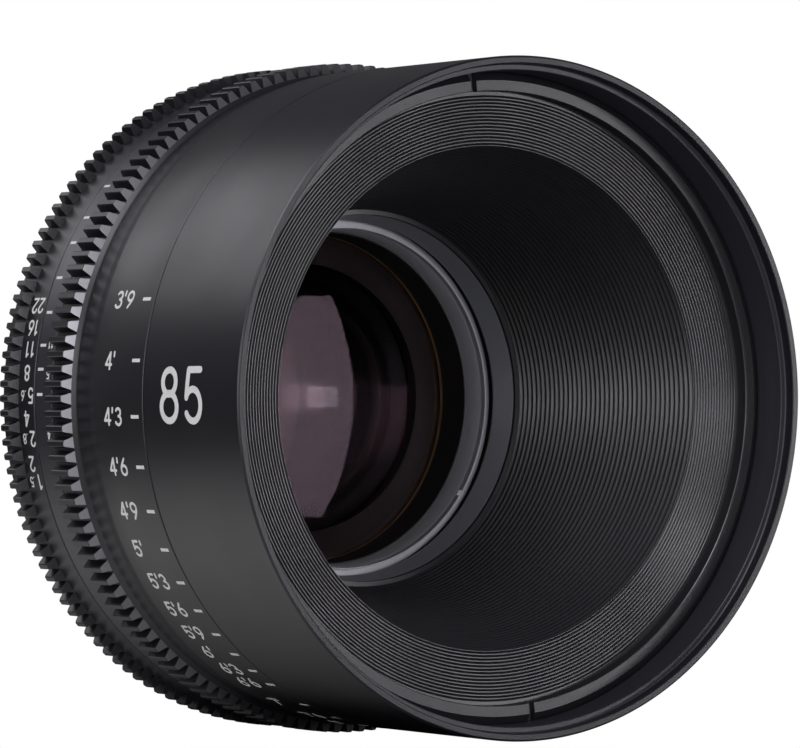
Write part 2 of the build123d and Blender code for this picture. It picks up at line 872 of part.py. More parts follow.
def mount_shim():
    body = ring(housing_back_bore, mount_base_radius, housing_back, mount_front)
    return body - screw_holes("mount", mount_screw_circle, mount_screw_angles(), mount_base_back, -1)


# Four-tab mount plate with its register tube
def mount_plate():
    register_back = front_to_flange + register_length
    body = turned(
        (mount_recess_radius, mount_front),
        (mount_base_radius, mount_front),
        (mount_base_radius, mount_base_back),
        (mount_neck_radius, mount_base_back),
        (mount_neck_radius, front_to_flange),
        (register_radius, front_to_flange),
        (register_radius, register_back - register_chamfer),
        (register_radius - register_chamfer, register_back),
        (mount_bore_radius, register_back),
        (mount_bore_radius, mount_front + mount_base_recess),
        (mount_recess_radius, mount_front + mount_base_recess),
    )
    for angle in evenly(tabs, 45):
        body += sector(register_radius, tab_radius, angle - tab_sweep / 2, tab_sweep,
                       tab_front, front_to_flange)
    body -= [prism(bar(tab_radius - tab_notch_depth, tab_radius + cut_overrun, tab_notch_width, angle),
                   tab_front - cut_overrun, front_to_flange + cut_overrun) for angle in evenly(tabs, 45)]
    return body - screw_holes("mount", mount_screw_circle, mount_screw_angles(), mount_base_back, -1)


# Depth of a glass surface at some radius, "front" or "back"
def surface_depth(name, side, radius):
    front_curve, thickness, back_curve, edge, front_clear, back_clear, vertex = glass[name]
    vertex_depth = cell_web_depth + vertex
    curve, clear, start = (front_curve, front_clear, vertex_depth)
    if side == "back":
        curve, clear, start = (back_curve, back_clear, vertex_depth + thickness)
    reach = min(radius, clear)
    bulge = abs(curve) - sqrt(curve ** 2 - reach ** 2)
    return start + (bulge if curve > 0 else -bulge)


def lens_element(name):
    front_curve, thickness, back_curve, edge, front_clear, back_clear, vertex = glass[name]
    front_rim = surface_depth(name, "front", front_clear)
    back_rim = surface_depth(name, "back", back_clear)
    front_arc = surface_arc(name, "front", front_clear)
    back_arc = surface_arc(name, "back", back_clear)
    corners = [(front_clear, front_rim), (edge, front_rim), (edge, back_rim), (back_clear, back_rim)]
    lines = []
    for first, second in zip(corners, corners[1:]):
        if first != second:
            lines.append(Line((first[0], along(first[1])), (second[0], along(second[1]))))
    axis = Line((0, along(surface_depth(name, "front", 0))), (0, along(surface_depth(name, "back", 0))))
    return revolve(make_face(Curve() + [front_arc, back_arc, axis] + lines), Axis.Y)


def surface_arc(name, side, clear):
    points = [(radius, along(surface_depth(name, side, radius))) for radius in (0, clear / 2, clear)]
    return ThreePointArc(*points)


# Front cell that holds the first three elements
def front_cell():
    bore = glass["lens_1"][3] + running_fit
    rear_bore = glass["lens_2"][3] + running_fit
    thread_bore = element_ring_thread_radius + seat_fit
    lip_front = surface_depth("lens_3", "back", rear_bore)
    body = turned(
        (thread_bore, cell_flange_front),
        (front_cell_flange_radius, cell_flange_front),
        (front_cell_flange_radius, cell_web_depth),
        (front_cell_radius, cell_web_depth),
        (front_cell_radius, front_cell_shell_back),
        (front_cell_waist_radius, front_cell_shell_back),
        (front_cell_waist_radius, front_cell_tail_depth),
        (front_cell_tail_radius, front_cell_tail_depth),
        (front_cell_tail_radius, front_cell_back_depth),
        (front_cell_lip_radius, front_cell_back_depth),
        (front_cell_lip_radius, lip_front),
        (rear_bore, lip_front),
        (rear_bore, front_cell_ledge_depth),
        (bore, front_cell_ledge_depth),
        (bore, element_ring_back_depth),
        (thread_bore, element_ring_back_depth),
    )
    body -= screw_holes("cell", front_cell_screw_circle, screw_angles("cell"), cell_flange_front, 1)
    return body - screw_holes("iris", iris_screw_circle, iris_screw_angles(), iris_flange_back, -1)


iris_flange_back = front_cell_back_depth + iris_flange_thickness


def iris_screw_angles():
    return screw_angles("iris", link_turn + 180 / screw_kinds["iris"][-1])


def focus_cell():
    web_back = cell_web_depth + cell_web_thickness
    skirt_bore = skirt_radius - skirt_wall
    body = turned(
        (skirt_bore, skirt_front_depth),
        (skirt_radius, skirt_front_depth),
        (skirt_radius, web_back),
        (front_cell_radius + seat_fit, web_back),
        (front_cell_radius + seat_fit, cell_web_depth),
        (skirt_bore, cell_web_depth),
    )
    body -= screw_holes("cell", front_cell_screw_circle, screw_angles("cell"), cell_flange_front, 1)
    for angle in follower_angles:
        body -= radial_slot(angle, skirt_bore - cut_overrun, skirt_radius + cut_overrun,
                            follower_shank_radius + seat_fit, follower_depth, follower_depth)
    return body


# Retaining ring and dark sleeve around the front element
def front_element_ring():
    body = turned(
        (element_ring_bore_front, element_ring_front_depth),
        (element_ring_snout_radius, element_ring_front_depth),
        (element_ring_snout_radius, cell_flange_front),
        (element_ring_thread_radius, cell_flange_front),
        (element_ring_thread_radius, element_ring_back_depth),
        (element_ring_bore_back, element_ring_back_depth),
    )
    outer = element_ring_snout_radius + cut_overrun
    return body - [
        prism(bar(element_ring_bore_back - cut_overrun, outer, element_ring_slot_width,
                  sketch_angle(lip_notch_turn + half_turn)),
              element_ring_front_depth - cut_overrun, element_ring_front_depth + element_ring_slot_depth)
        for half_turn in (0, 180)
    ]


def front_sleeve():
    return ring(sleeve_bore_radius, glass["lens_1"][3], element_ring_back_depth,
                surface_depth("lens_1", "front", sleeve_bore_radius))


def front_spacer():
    first_edge = glass["lens_1"][3]
    second_edge = glass["lens_2"][3]
    front = surface_depth("lens_1", "back", first_edge)
    back = surface_depth("lens_2", "front", front_spacer_bore)
    return turned(
        (front_spacer_bore, front),
        (first_edge, front),
        (first_edge, front_cell_ledge_depth),
        (second_edge, front_cell_ledge_depth),
        (second_edge, back),
        (front_spacer_bore, back),
    )


# Iris housing, with a window for the lever of the cam ring
iris_cavity_back = front_cell_back_depth + iris_cavity_length
iris_wall_back = iris_cavity_back + iris_wall_thickness
spigot_back = iris_wall_back + rear_cell_spigot_length
cam_ring_front = front_cell_back_depth + cam_ring_front_gap
cam_ring_back = cam_ring_front + cam_ring_thickness
blade_turn_ratio = blade_swing / (iris_open_angle + iris_closed_angle)


def pivot_angles():
    return evenly(blades)


def iris_housing():
    body = turned(
        (iris_cavity_radius, front_cell_back_depth),
        (front_cell_tail_radius, front_cell_back_depth),
        (front_cell_tail_radius, iris_flange_back),
        (rear_cell_throat_radius, iris_flange_back),
        (rear_cell_throat_radius, spigot_back),
        (rear_cell_spigot_radius, spigot_back),
        (rear_cell_spigot_radius, iris_wall_back),
        (iris_plate_bore_radius, iris_wall_back),
        (iris_plate_bore_radius, iris_cavity_back),
        (iris_cavity_radius, iris_cavity_back),
    )
    half_turn = degrees(asin(lever_width / 2 / iris_cavity_radius) + arm_window_margin / iris_cavity_radius)
    body -= sector(iris_cavity_radius - cut_overrun, front_cell_tail_radius + cut_overrun,
                   link_turn - iris_closed_angle - half_turn,
                   iris_open_angle + iris_closed_angle + 2 * half_turn,
                   front_cell_back_depth - cut_overrun, front_cell_back_depth + iris_window_length)
    body -= round_bars(pivot_circle_radius, pivot_angles(), pivot_pin_radius + running_fit,
                       iris_cavity_back - cut_overrun, iris_cavity_back + pivot_pin_reach + running_fit)
    return body - screw_holes("iris", iris_screw_circle, iris_screw_angles(), iris_flange_back, -1)


# Where a blade's drive pin stands when the blade has swung shut by some angle
def drive_pin_place(pivot_angle, swing):
    pivot = polar(pivot_circle_radius, pivot_angle)
    arm = polar(drive_arm_length, pivot_angle + 90 + swing)
    return (pivot[0] + arm[0], pivot[1] + arm[1])


# The same place seen from the cam ring, which has turned with the iris ring
def cam_slot_place(pivot_angle, swing):
    x, y = drive_pin_place(pivot_angle, swing)
    ring_turn = iris_open_angle - swing / blade_turn_ratio
    return polar(hypot(x, y), degrees(atan2(y, x)) - ring_turn)


def iris_cam_ring():
    outer = iris_cavity_radius - running_fit
    body = ring(cam_ring_inner_radius, outer, cam_ring_front, cam_ring_back)
    lever = bar(outer - cut_overrun, fork_tip_radius, lever_width, link_turn)
    lever += bar(fork_root_radius, fork_tip_radius, fork_width, link_turn)
    fork_gap = link_bar_width + 2 * running_fit
    lever -= bar(fork_floor_radius, fork_tip_radius + cut_overrun, fork_gap, link_turn)
    body += prism(lever, cam_ring_front, cam_ring_back)
    half_width = drive_pin_radius + running_fit
    for angle in pivot_angles():
        places = [cam_slot_place(angle, blade_swing * k / slot_segments) for k in range(slot_segments + 1)]
        slot = Sketch() + [Pos(*place) * Circle(half_width) for place in (places[0], places[-1])]
        slot += trace(Spline(*places), 2 * half_width)
        body -= prism(slot, cam_ring_front - cut_overrun, cam_ring_back + cut_overrun)
    return body


# One blade, drawn at the swing it has at rest
def iris_blade(number):
    angle = pivot_angles()[number]
    front = cam_ring_back + cam_blade_gap + number * blade_pitch
    rest_swing = iris_open_angle * blade_turn_ratio
    pivot = polar(pivot_circle_radius, angle)
    leaf = annulus_part(blade_inner_radius, blade_outer_radius, angle - blade_tail_sweep,
                        blade_sweep + blade_tail_sweep)
    ends = [pivot, drive_pin_place(angle, 0), polar(blade_root_radius, angle + blade_root_turn)]
    leaf += make_hull([edge for end in ends for edge in (Pos(*end) * Circle(blade_ear_radius)).edges()])
    swing = Pos(*pivot) * Rot(0, 0, rest_swing) * Pos(-pivot[0], -pivot[1])
    body = extrude(across(front) * swing * leaf, blade_thickness)
    body += prism(Pos(*pivot) * Circle(pivot_pin_radius), front, iris_cavity_back + pivot_pin_reach)
    place = drive_pin_place(angle, rest_swing)
    return body + prism(Pos(*place) * Circle(drive_pin_radius), cam_ring_front, front + blade_thickness)


# Rear cell with its elements, spacers and retaining ring
def rear_cell():
    bore = glass["lens_4"][3] + running_fit
    lip_back = surface_depth("lens_4", "front", bore)
    collar_back = spigot_back + rear_cell_collar_length
    spigot = rear_cell_spigot_radius - seat_fit
    return turned(
        (rear_cell_lip_radius, iris_wall_back),
        (spigot, iris_wall_back),
        (spigot, spigot_back),
        (rear_cell_throat_radius, spigot_back),
        (rear_cell_throat_radius, collar_back),
        (rear_cell_radius, collar_back),
        (rear_cell_radius, rear_cell_back_depth),
        (bore, rear_cell_back_depth),
        (bore, lip_back),
        (rear_cell_lip_radius, lip_back),
    )


def rear_spacer(before, after):
    edge = glass[before][3]
    inner = edge - rear_spacer_wall
    front = max(surface_depth(before, "back", radius) for radius in (inner, edge))
    back = min(surface_depth(after, "front", radius) for radius in (inner, edge))
    return ring(inner, edge, front, back)


def rear_retaining_ring():
    edge = glass["lens_7"][3]
    front = surface_depth("lens_7", "back", edge)
    back = rear_cell_back_depth - rear_ring_sink
    body = ring(rear_ring_bore, edge, front, back)
    return body - [prism(bar(rear_ring_bore - cut_overrun, edge + cut_overrun, spanner_slot_width, turn),
                         back - element_ring_slot_depth, back + cut_overrun) for turn in evenly(2)]


pieces = {
    "front_barrel": front_barrel(),
    "baffle_ring": baffle_ring(),
    "light_baffle": light_baffle(),
    "core_barrel": core_barrel(),
    "front_barrel_screws": group(screws("front", front_screw_circle,
    screw_angles("front"), front_web_depth, 1)),
    "index_ring": index_ring(),
    "index_ring_screws": group(screws("index", index_screw_circle,
    screw_angles("index"), index_web_front, 1)),
    "rear_housing": rear_housing(),
    "rear_housing_screws": group(radial_screws("housing", housing_front_radius, screw_angles("housing"),
                                               housing_screw_depth)),
    "mount_plate": mount_plate(),
    "mount_shim": mount_shim(),
    "mount_screws": group(screws("mount", mount_screw_circle, mount_screw_angles(), mount_base_back, -1)),
    "focus_washer_front": focus_washer_front(),
    "focus_washer_rear": focus_washer_rear(),
    "iris_washer_front": iris_washer_front(),
    "iris_washer_rear": iris_washer_rear(),
    "focus_stop_pin": focus_stop_pin(),
    "iris_stop_pin": iris_stop_pin(),
    "focus_ring": focus_ring(),
    "cam_sleeve": cam_sleeve(),
    "cam_sleeve_screws": group(screws("cam", cam_screw_circle, screw_angles("cam"), focus_back, -1)),
    "focus_cell": focus_cell(),
    "cam_followers": cam_followers(),
    "front_cell": front_cell(),
    "front_cell_screws": group(screws("cell", front_cell_screw_circle,
                                      screw_angles("cell"), cell_flange_front, 1)),
    "front_element_ring": front_element_ring(),
    "front_sleeve": front_sleeve(),
    "front_spacer": front_spacer(),
    "iris_housing": iris_housing(),
    "iris_housing_screws": group(screws("iris", iris_screw_circle,
    iris_screw_angles(), iris_flange_back, -1)),
    "rear_cell": rear_cell(),
    "rear_spacer_1": rear_spacer("lens_5", "lens_6"),
    "rear_spacer_2": rear_spacer("lens_6", "lens_7"),
    "rear_retaining_ring": rear_retaining_ring(),
    "iris_ring": iris_ring(),
    "iris_drive_arm": iris_drive_arm(),
    "iris_arm_screws": group(screws("arm", arm_screw_radius, arm_screw_angles(),
                                    arm_back + arm_foot_thickness, -1)),
    "iris_link_bar": iris_link_bar(),
    "iris_cam_ring": iris_cam_ring(),
}
for name in glass:
    pieces[name] = lens_element(name)
for number in range(blades):
    pieces[f"iris_blade_{number + 1}"] = iris_blade(number)
for node, shape in pieces.items():
    export_step(shape, f"parts/{node}.step")
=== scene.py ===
import bpy
import json
import math
import numpy as np
from mathutils import Matrix, Vector


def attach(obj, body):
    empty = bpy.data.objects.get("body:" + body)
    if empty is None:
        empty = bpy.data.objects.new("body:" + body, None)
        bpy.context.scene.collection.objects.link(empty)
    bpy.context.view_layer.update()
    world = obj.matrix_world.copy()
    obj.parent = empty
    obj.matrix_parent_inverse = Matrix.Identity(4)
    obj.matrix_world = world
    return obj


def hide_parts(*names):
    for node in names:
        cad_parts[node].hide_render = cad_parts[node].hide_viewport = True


# A cinema prime lens on a pale floor. Sizes are in millimetres until meshObject.
# Depths run back from the front rim; the flange, at flangeDepth, is Y = 0.
# Angles are in degrees about +Y from +Z; scale angles start at -X.

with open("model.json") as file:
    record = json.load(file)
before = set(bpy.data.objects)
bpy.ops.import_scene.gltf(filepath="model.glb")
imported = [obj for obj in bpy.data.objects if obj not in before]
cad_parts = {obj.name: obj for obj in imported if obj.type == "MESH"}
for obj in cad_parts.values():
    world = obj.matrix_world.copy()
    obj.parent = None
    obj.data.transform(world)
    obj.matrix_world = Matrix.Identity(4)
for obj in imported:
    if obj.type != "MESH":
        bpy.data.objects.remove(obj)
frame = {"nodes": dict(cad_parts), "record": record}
bpy.context.scene.view_settings.view_transform = "Standard"
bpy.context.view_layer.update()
print("frame loaded")

flangeDepth = 101.0
mm = 0.001

barrel = {"radius": 57.0, "edge": 0.35, "seam": 0.12, "columns": 360}
# widths and edge breaks in millimetres; tipEdge, shoulder, backTop and backFoot are shares of
# the tooth's height
gear = {"teeth": 145, "root": 57.0, "tip": 58.8, "tipWidth": 1.05, "rootWidth": 2.0, "slope": 0.48,
        "round": 0.14, "tipEdge": 0.93, "shoulder": 0.94, "backEase": 0.5, "backRound": 0.06,
        "backTop": 0.75, "backFoot": 0.72, "backDrop": 0.05}
baffle = {"faceRidges": 15, "faceDepth": 0.26, "faceLand": 0.05, "coneRidges": 38, "coneDepth": 0.42,
          "land": 0.34, "lipRidges": 12, "lipDepth": 0.16, "lipLand": 0.3, "columns": 288}
screwLook = {"proud": 0.1, "sink": 0.5, "bevel": 0.15, "socketShare": 0.45, "socketDepth": 0.6,
             "socketFoot": 0.98, "socketDrop": 0.05, "socketBreak": 0.06, "coneShare": 0.7, "columns": 48}
mountScrews = {"circle": 41.8, "depth": 94.0, "first": 22.5, "count": 8, "head": 2.0}
housingScrews = {"circle": 54.12, "depth": 79.4, "count": 6, "head": 2.0}
# mount tabs: radii in millimetres, spans to each side of a tab's middle in degrees
tabs = {"middles": (45, 135, 225, 315), "half": 29, "notchHalf": 2.7, "radius": 34.0, "notchRadius": 32.0,
        "gapRadius": 29.52, "columnStep": 1.5, "firstColumn": 0.7}
# steep walls of slots and tabs: half their width, and the span kept clear beside them, in degrees
wall = {"half": 0.03, "clear": 0.1}
# painted strokes: how far they stand out of the barrel and reach into it, the length of their
# steps, the turns of a rounded end, and the shape across
marks = {"proud": 0.02, "sink": 0.05, "sides": 8, "step": 0.8, "capTurns": (80.0, 50.0, 20.0),
         "widen": 1.08, "flank": 2.4, "miter": 0.6, "figureWidth": 0.5, "sharp": 60.0}
wear = {"radius": 0.14, "colour": "#77787B", "samples": 4, "patchSpan": (0.35, 0.65),
        "edgeSpan": (0.2, 0.8)}
cameraSpot = {"place": (-0.44185, -0.72499, -0.00278), "yaw": 33.68, "pitch": 0.50, "roll": 0.45,
              "lens": 207.0, "sensor": 36.0, "nearest": 0.05}
# scales are per metre and lineDepth is in millimetres; a span is the part of the noise that shows,
# and glossChange is how far it moves the roughness
texture = {"patches": 45.0, "lineStretch": (0.02, 9.0, 1.0), "lineDepth": 0.01, "grainBump": 0.5,
           "mottle": 0.12, "glossSpan": (0.3, 0.7), "glossChange": (0.9, 1.12), "haze": 60.0,
           "hazeSpan": (0.4, 0.8), "hazeRoughness": 0.03, "glassIor": 1.52, "spots": 3000.0,
           "spotMottle": 0.18, "enamelRoughness": 0.5, "fibre": 400.0, "fibreMottle": 0.04}
# the lights aim at centre, in metres
studio = {"fillColour": (0.93, 0.92, 1.0, 1), "fill": 0.11, "white": (1, 1, 1, 1), "centre": (0, -0.06, 0),
          "lampColour": (0.97, 0.955, 1.0)}
# the card's edges and fade are in metres from the axis
floorLook = {"height": -58.8, "radius": 3000.0, "sides": 64,
             "card": {"near": -0.02, "full": -0.07, "fade": 0.12, "end": 0.28, "glow": 0.66}}


# colour from a hex string, made linear
def linear(code):
    values = [int(code[i:i + 2], 16) / 255 for i in (1, 3, 5)]
    return [v / 12.92 if v <= 0.04045 else ((v + 0.055) / 1.055) ** 2.4 for v in values] + [1.0]


# owner is a material or a world; a value goes to the socket of that name or number, or else to
# the node's own setting
def addNode(owner, kind, values=None, **links):
    node = owner.node_tree.nodes.new(kind)
    for key, value in (values or {}).items():
        if isinstance(key, int) or key in node.inputs:
            node.inputs[key].default_value = value
        else:
            setattr(node, key, value)
    for key, source in links.items():
        owner.node_tree.links.new(source, node.inputs[key.replace("_", " ")])
    return node


def newMaterial(name):
    material = bpy.data.materials.new(name)
    material.use_nodes = True
    material.node_tree.nodes.clear()
    return material


def output(material, shader):
    addNode(material, "ShaderNodeOutputMaterial", Surface=shader)
    return material


# anodised or turned metal: blasted grain, faint turning lines and uneven gloss. Worn
# edges go paler where the rounded-off normal leaves the true one.
def metalLook(name, colour, metallic, roughness, grain, grainHeight, turning, ior=1.5, worn=0.0):
    material = newMaterial(name)
    place = addNode(material, "ShaderNodeTexCoord").outputs
    fine = addNode(material, "ShaderNodeTexNoise", {"Scale": 1 / (grain * mm), "Detail": 2.0},
                   Vector=place["Object"])
    broad = addNode(material, "ShaderNodeTexNoise", {"Scale": texture["patches"], "Detail": 3.0},
                    Vector=place["Object"])
    stretch = addNode(material, "ShaderNodeMapping", {"Scale": texture["lineStretch"]}, Vector=place["UV"])
    lines = addNode(material, "ShaderNodeTexNoise", {"Scale": 1.0, "Detail": 3.0}, Vector=stretch.outputs[0])
    low = addNode(material, "ShaderNodeBump", {"Strength": texture["grainBump"],
                  "Distance": grainHeight * mm}, Height=fine.outputs[0])
    both = addNode(material, "ShaderNodeBump", {"Strength": turning, "Distance": texture["lineDepth"] * mm},
                   Height=lines.outputs[0], Normal=low.outputs[0])
    start, end = texture["glossSpan"]
    least, most = texture["glossChange"]
    gloss = addNode(material, "ShaderNodeMapRange", {"From Min": start, "From Max": end,
                    "To Min": roughness * least, "To Max": roughness * most}, Value=broad.outputs[0])
    shade = addNode(material, "ShaderNodeMixRGB", {"blend_type": "MULTIPLY", "Fac": texture["mottle"],
                    1: linear(colour)}, Color2=fine.outputs[1])
    if worn:
        rounded = addNode(material, "ShaderNodeBevel", {"samples": wear["samples"],
                          "Radius": wear["radius"] * mm})
        leaving = addNode(material, "ShaderNodeVectorMath", {"operation": "DISTANCE"},
                          Vector=rounded.outputs[0])
        trueNormal = addNode(material, "ShaderNodeNewGeometry").outputs["Normal"]
        material.node_tree.links.new(trueNormal, leaving.inputs[1])
        patches = addNode(material, "ShaderNodeMapRange", {"From Min": wear["patchSpan"][0],
                          "From Max": wear["patchSpan"][1], "To Max": worn}, Value=broad.outputs[0])
        rubbed = addNode(material, "ShaderNodeMapRange", {"From Min": wear["edgeSpan"][0],
                         "From Max": wear["edgeSpan"][1]}, Value=leaving.outputs["Value"],
                         To_Max=patches.outputs[0])
        shade = addNode(material, "ShaderNodeMixRGB", {2: linear(wear["colour"])}, Fac=rubbed.outputs[0],
                        Color1=shade.outputs[0])
    shader = addNode(material, "ShaderNodeBsdfPrincipled", {"Metallic": metallic, "IOR": ior},
                     Base_Color=shade.outputs[0], Roughness=gloss.outputs[0], Normal=both.outputs[0])
    return output(material, shader.outputs[0])


# coated optical glass: clear body, mirror weak and tinted as a coating leaves it
def glassLook(name, colour, tint):
    material = newMaterial(name)
    place = addNode(material, "ShaderNodeTexCoord").outputs["Object"]
    haze = addNode(material, "ShaderNodeTexNoise", {"Scale": texture["haze"], "Detail": 4.0}, Vector=place)
    rough = addNode(material, "ShaderNodeMapRange", {"From Min": texture["hazeSpan"][0],
                    "From Max": texture["hazeSpan"][1], "To Max": texture["hazeRoughness"]},
                    Value=haze.outputs[0])
    shader = addNode(material, "ShaderNodeBsdfPrincipled",
                     {"Base Color": linear(colour), "Transmission Weight": 1.0, "IOR": texture["glassIor"],
                      "Specular Tint": linear(tint)}, Roughness=rough.outputs[0])
    return output(material, shader.outputs[0])


# filled engraving: matte enamel with small unevenness
def enamelLook(name, colour):
    material = newMaterial(name)
    place = addNode(material, "ShaderNodeTexCoord").outputs["Object"]
    spots = addNode(material, "ShaderNodeTexNoise", {"Scale": texture["spots"], "Detail": 2.0}, Vector=place)
    shade = addNode(material, "ShaderNodeMixRGB", {"blend_type": "MULTIPLY", "Fac": texture["spotMottle"],
                    1: linear(colour)}, Color2=spots.outputs[1])
    shader = addNode(material, "ShaderNodeBsdfPrincipled", {"Roughness": texture["enamelRoughness"]},
                     Base_Color=shade.outputs[0])
    return output(material, shader.outputs[0])


looks = {
    # blasted and anodised aluminium: deep black with a soft sheen along the barrel
    "barrelBlack": metalLook("satinBlackAnodised", "#15141A", 0.0, 0.36, 0.16, 0.006, 0.12, ior=1.6,
                             worn=0.35),
    # the fixed ring, anodised a little paler than the rings that turn; the same look on the front bore and
    # step is a painted reflection of the lit baffle
    "paleRingAndPaintedBoreLight": metalLook("fixedRingAndPaintedBoreLight", "#2A292F", 0.0, 0.38, 0.16, 0.006, 0.12, ior=1.6, worn=0.35),
    # cut gear, anodised after cutting: fine turning lines and rubbed tooth edges
    "gearBlack": metalLook("cutGearAnodised", "#15141A", 0.0, 0.38, 0.12, 0.008, 0.3, ior=1.6, worn=0.4),
    # focus gear tooth ends, turned after anodising: pale satin aluminium, made paler than the iris gear's
    # black ends as a painted highlight of the front light
    "toothEndHighlight": metalLook("toothEndsPaintedHighlight", "#8A8B8E", 1.0, 0.38, 0.1, 0.003, 0.2),
    # ridged baffle: fine lines that each catch a thin light
    "baffleBlack": metalLook("matteBlackAnodised", "#1C1B1F", 0.0, 0.34, 0.1, 0.004, 0.3, ior=1.7),
    # thread at the throat, black like the baffle, painted grey for the light its ridges catch, so the lines
    # read one by one
    "threadPaintedLight": metalLook("lipThreadPaintedLight", "#7A7B80", 0.4, 0.36, 0.1, 0.004, 0.3),
    # satin black ring in front of the glass, painted pale grey for the light it catches
    "paleRingPaintedLight": metalLook("blackRingPaintedPale", "#CFD0D5", 0.7, 0.5, 0.12, 0.004, 0.2),
    # matte black paint inside: swallows the light
    "innerBlack": metalLook("innerBlackPaint", "#1E191B", 0.0, 0.6, 0.15, 0.006, 0.1, ior=1.4),
    # lathe-turned aluminium: pale, with lines around
    "bareAluminium": metalLook("turnedAluminium", "#B9BABD", 1.0, 0.34, 0.2, 0.004, 0.8),
    # turned screw steel: darker grey, lines around the head
    "steel": metalLook("turnedSteel", "#8E8E90", 1.0, 0.3, 0.15, 0.004, 0.6),
    # fine turned stainless mount: bright, close lines
    "mountSteel": metalLook("fineTurnedStainless", "#B4B3B0", 1.0, 0.24, 0.12, 0.003, 1.0),
    # rolled shim brass: warm and smooth
    "brass": metalLook("rolledBrass", "#B08D4A", 1.0, 0.3, 0.2, 0.004, 0.5),
    # moulded slip washers: waxy cream
    "plastic": metalLook("slipPlastic", "#CFCBBB", 0.0, 0.45, 0.3, 0.004, 0.0),
    # blackened blade steel: dark, dry gloss
    "bladeBlack": metalLook("blackenedBladeSteel", "#1A1A1C", 0.6, 0.42, 0.1, 0.003, 0.2),
    # coated front glass: nearly clear, mauve where it mirrors
    "frontGlass": glassLook("coatedFrontGlass", "#F0E8EA", "#665862"),
    # inner glasses: a maroon depth behind the front one
    "innerGlass": glassLook("coatedInnerGlass", "#B6AAAD", "#5E5058"),
    # filled engraving enamel: flat white
    "white": enamelLook("whiteEnamel", "#E9E9E6"),
    # lacquered line at the rear of the sleeve: dull gold
    "edgeGold": metalLook("sleeveLineLacquer", "#F0C080", 0.9, 0.3, 0.2, 0.002, 0.0),
}
print("materials made")


# one mesh object from arrays in millimetres, with an optional UV map in millimetres;
# accent gives a second look and the faces that wear it
def meshObject(name, points, faces, look, body, nodes=(), uv=None, sharp=28.0, accent=None):
    mesh = bpy.data.meshes.new(name)
    mesh.from_pydata((np.asarray(points, float) * mm).tolist(), [], faces)
    if uv is not None:
        layer = mesh.uv_layers.new(name="turnedMm")
        layer.data.foreach_set("uv", uv.ravel())
    mesh.polygons.foreach_set("use_smooth", np.ones(len(mesh.polygons), bool))
    mesh.set_sharp_from_angle(angle=math.radians(sharp))
    mesh.materials.append(looks[look])
    if accent is not None:
        mesh.materials.append(looks[accent[0]])
        mesh.polygons.foreach_set("material_index", accent[1])
    mesh.update()
    piece = bpy.data.objects.new(name, mesh)
    bpy.context.scene.collection.objects.link(piece)
    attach(piece, body)
    if nodes:
        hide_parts(*nodes)
    return piece


def evenTurns(count):
    return np.arange(count) * 360.0 / count


# point of row i, column j: (r sin t, depth - flange, r cos t); each row's radius
# and depth is one number or one number a column. Rows close on themselves, or end
# on the axis where poles gives the two depths there. UV is (arc, profile) in mm.
def turned(rows, turns, poles=None):
    angle, count = np.radians(turns), len(turns)
    radius, depth = (np.array([np.broadcast_to(row[k], count) for row in rows], float) for k in (0, 1))
    points = np.stack([radius * np.sin(angle), depth - flangeDepth, radius * np.cos(angle)], axis=-1)
    points = points.reshape(-1, 3)
    i, j = np.mgrid[0:len(rows) - (poles is not None), 0:count]
    k, n = (i + 1) % len(rows), (j + 1) % count
    quads = np.stack([i * count + j, i * count + n, k * count + n, k * count + j], axis=-1).reshape(-1, 4)
    meanRadius, meanDepth = radius.mean(axis=1), depth.mean(axis=1)
    step = np.hypot(np.diff(meanRadius), np.diff(meanDepth))
    along = np.concatenate([[0.0], np.cumsum(step), [step.sum() + 1.0]])
    span = np.append(turns, turns[0] + 360.0)
    arc = np.stack([span[j], span[j + 1], span[j + 1], span[j]], axis=-1)
    arc = arc * np.radians(0.5 * (meanRadius[i] + meanRadius[k]))[..., None]
    profile = np.stack([along[i], along[i], along[i + 1], along[i + 1]], axis=-1)
    uv = np.stack([arc, profile], axis=-1).reshape(-1, 4, 2)
    caps = np.zeros((0, 3), int)
    if poles is not None:
        start, base = len(points), (len(rows) - 1) * count
        points = np.vstack([points, [[0, poles[0] - flangeDepth, 0], [0, poles[1] - flangeDepth, 0]]])
        j, n, one = np.arange(count), (np.arange(count) + 1) % count, np.ones(count, int)
        caps = np.vstack([np.stack([start * one, n, j], axis=-1),
                          np.stack([(start + 1) * one, base + j, base + n], axis=-1)])
    way = 1 if enclosed(points, quads) > 0 else -1
    return points, quads[:, ::way], caps[:, ::way], uv[:, ::way]


# six times the volume inside the quads: sum of a . (b x c + c x d) about their middle
def enclosed(points, quads):
    a, b, c, d = np.moveaxis(points[quads] - points.mean(axis=0), 1, 0)
    return np.einsum("ij,ij->", a, np.cross(b, c) + np.cross(c, d))


# accent names a second look and the profile rows that wear it
def turnedPiece(name, rows, look, body, nodes=(), turns=None, poles=None, sharp=28.0, accent=None):
    turns = evenTurns(barrel["columns"]) if turns is None else turns
    points, quads, caps, uv = turned(rows, turns, poles)
    corners = np.vstack([uv.reshape(-1, 2), np.zeros((caps.size, 2))])
    if accent is not None:
        chosen = np.isin(np.arange(len(quads) + len(caps)) // len(turns), list(accent[1]))
        accent = (accent[0], chosen.astype(np.int32))
    return meshObject(name, points, quads.tolist() + caps.tolist(), look, body, nodes, corners, sharp, accent)


def between(a, b, share):
    return (a[0] + (b[0] - a[0]) * share, a[1] + (b[1] - a[1]) * share)


# ridges on a line: a flat land, then a valley moved by the relief
def ridgeRows(start, end, count, relief, land, firstLand=0.0):
    rows = [start]
    pitch = (1 - firstLand) / count
    for k in range(count):
        crest = firstLand + pitch * k
        rows.append(between(start, end, crest + pitch * land * 0.5))
        low = between(start, end, crest + pitch * 0.5)
        rows.append((low[0] + relief[0], low[1] + relief[1]))
        rows.append(between(start, end, crest + pitch * (1 - land * 0.5)))
    rows.append(end)
    return rows


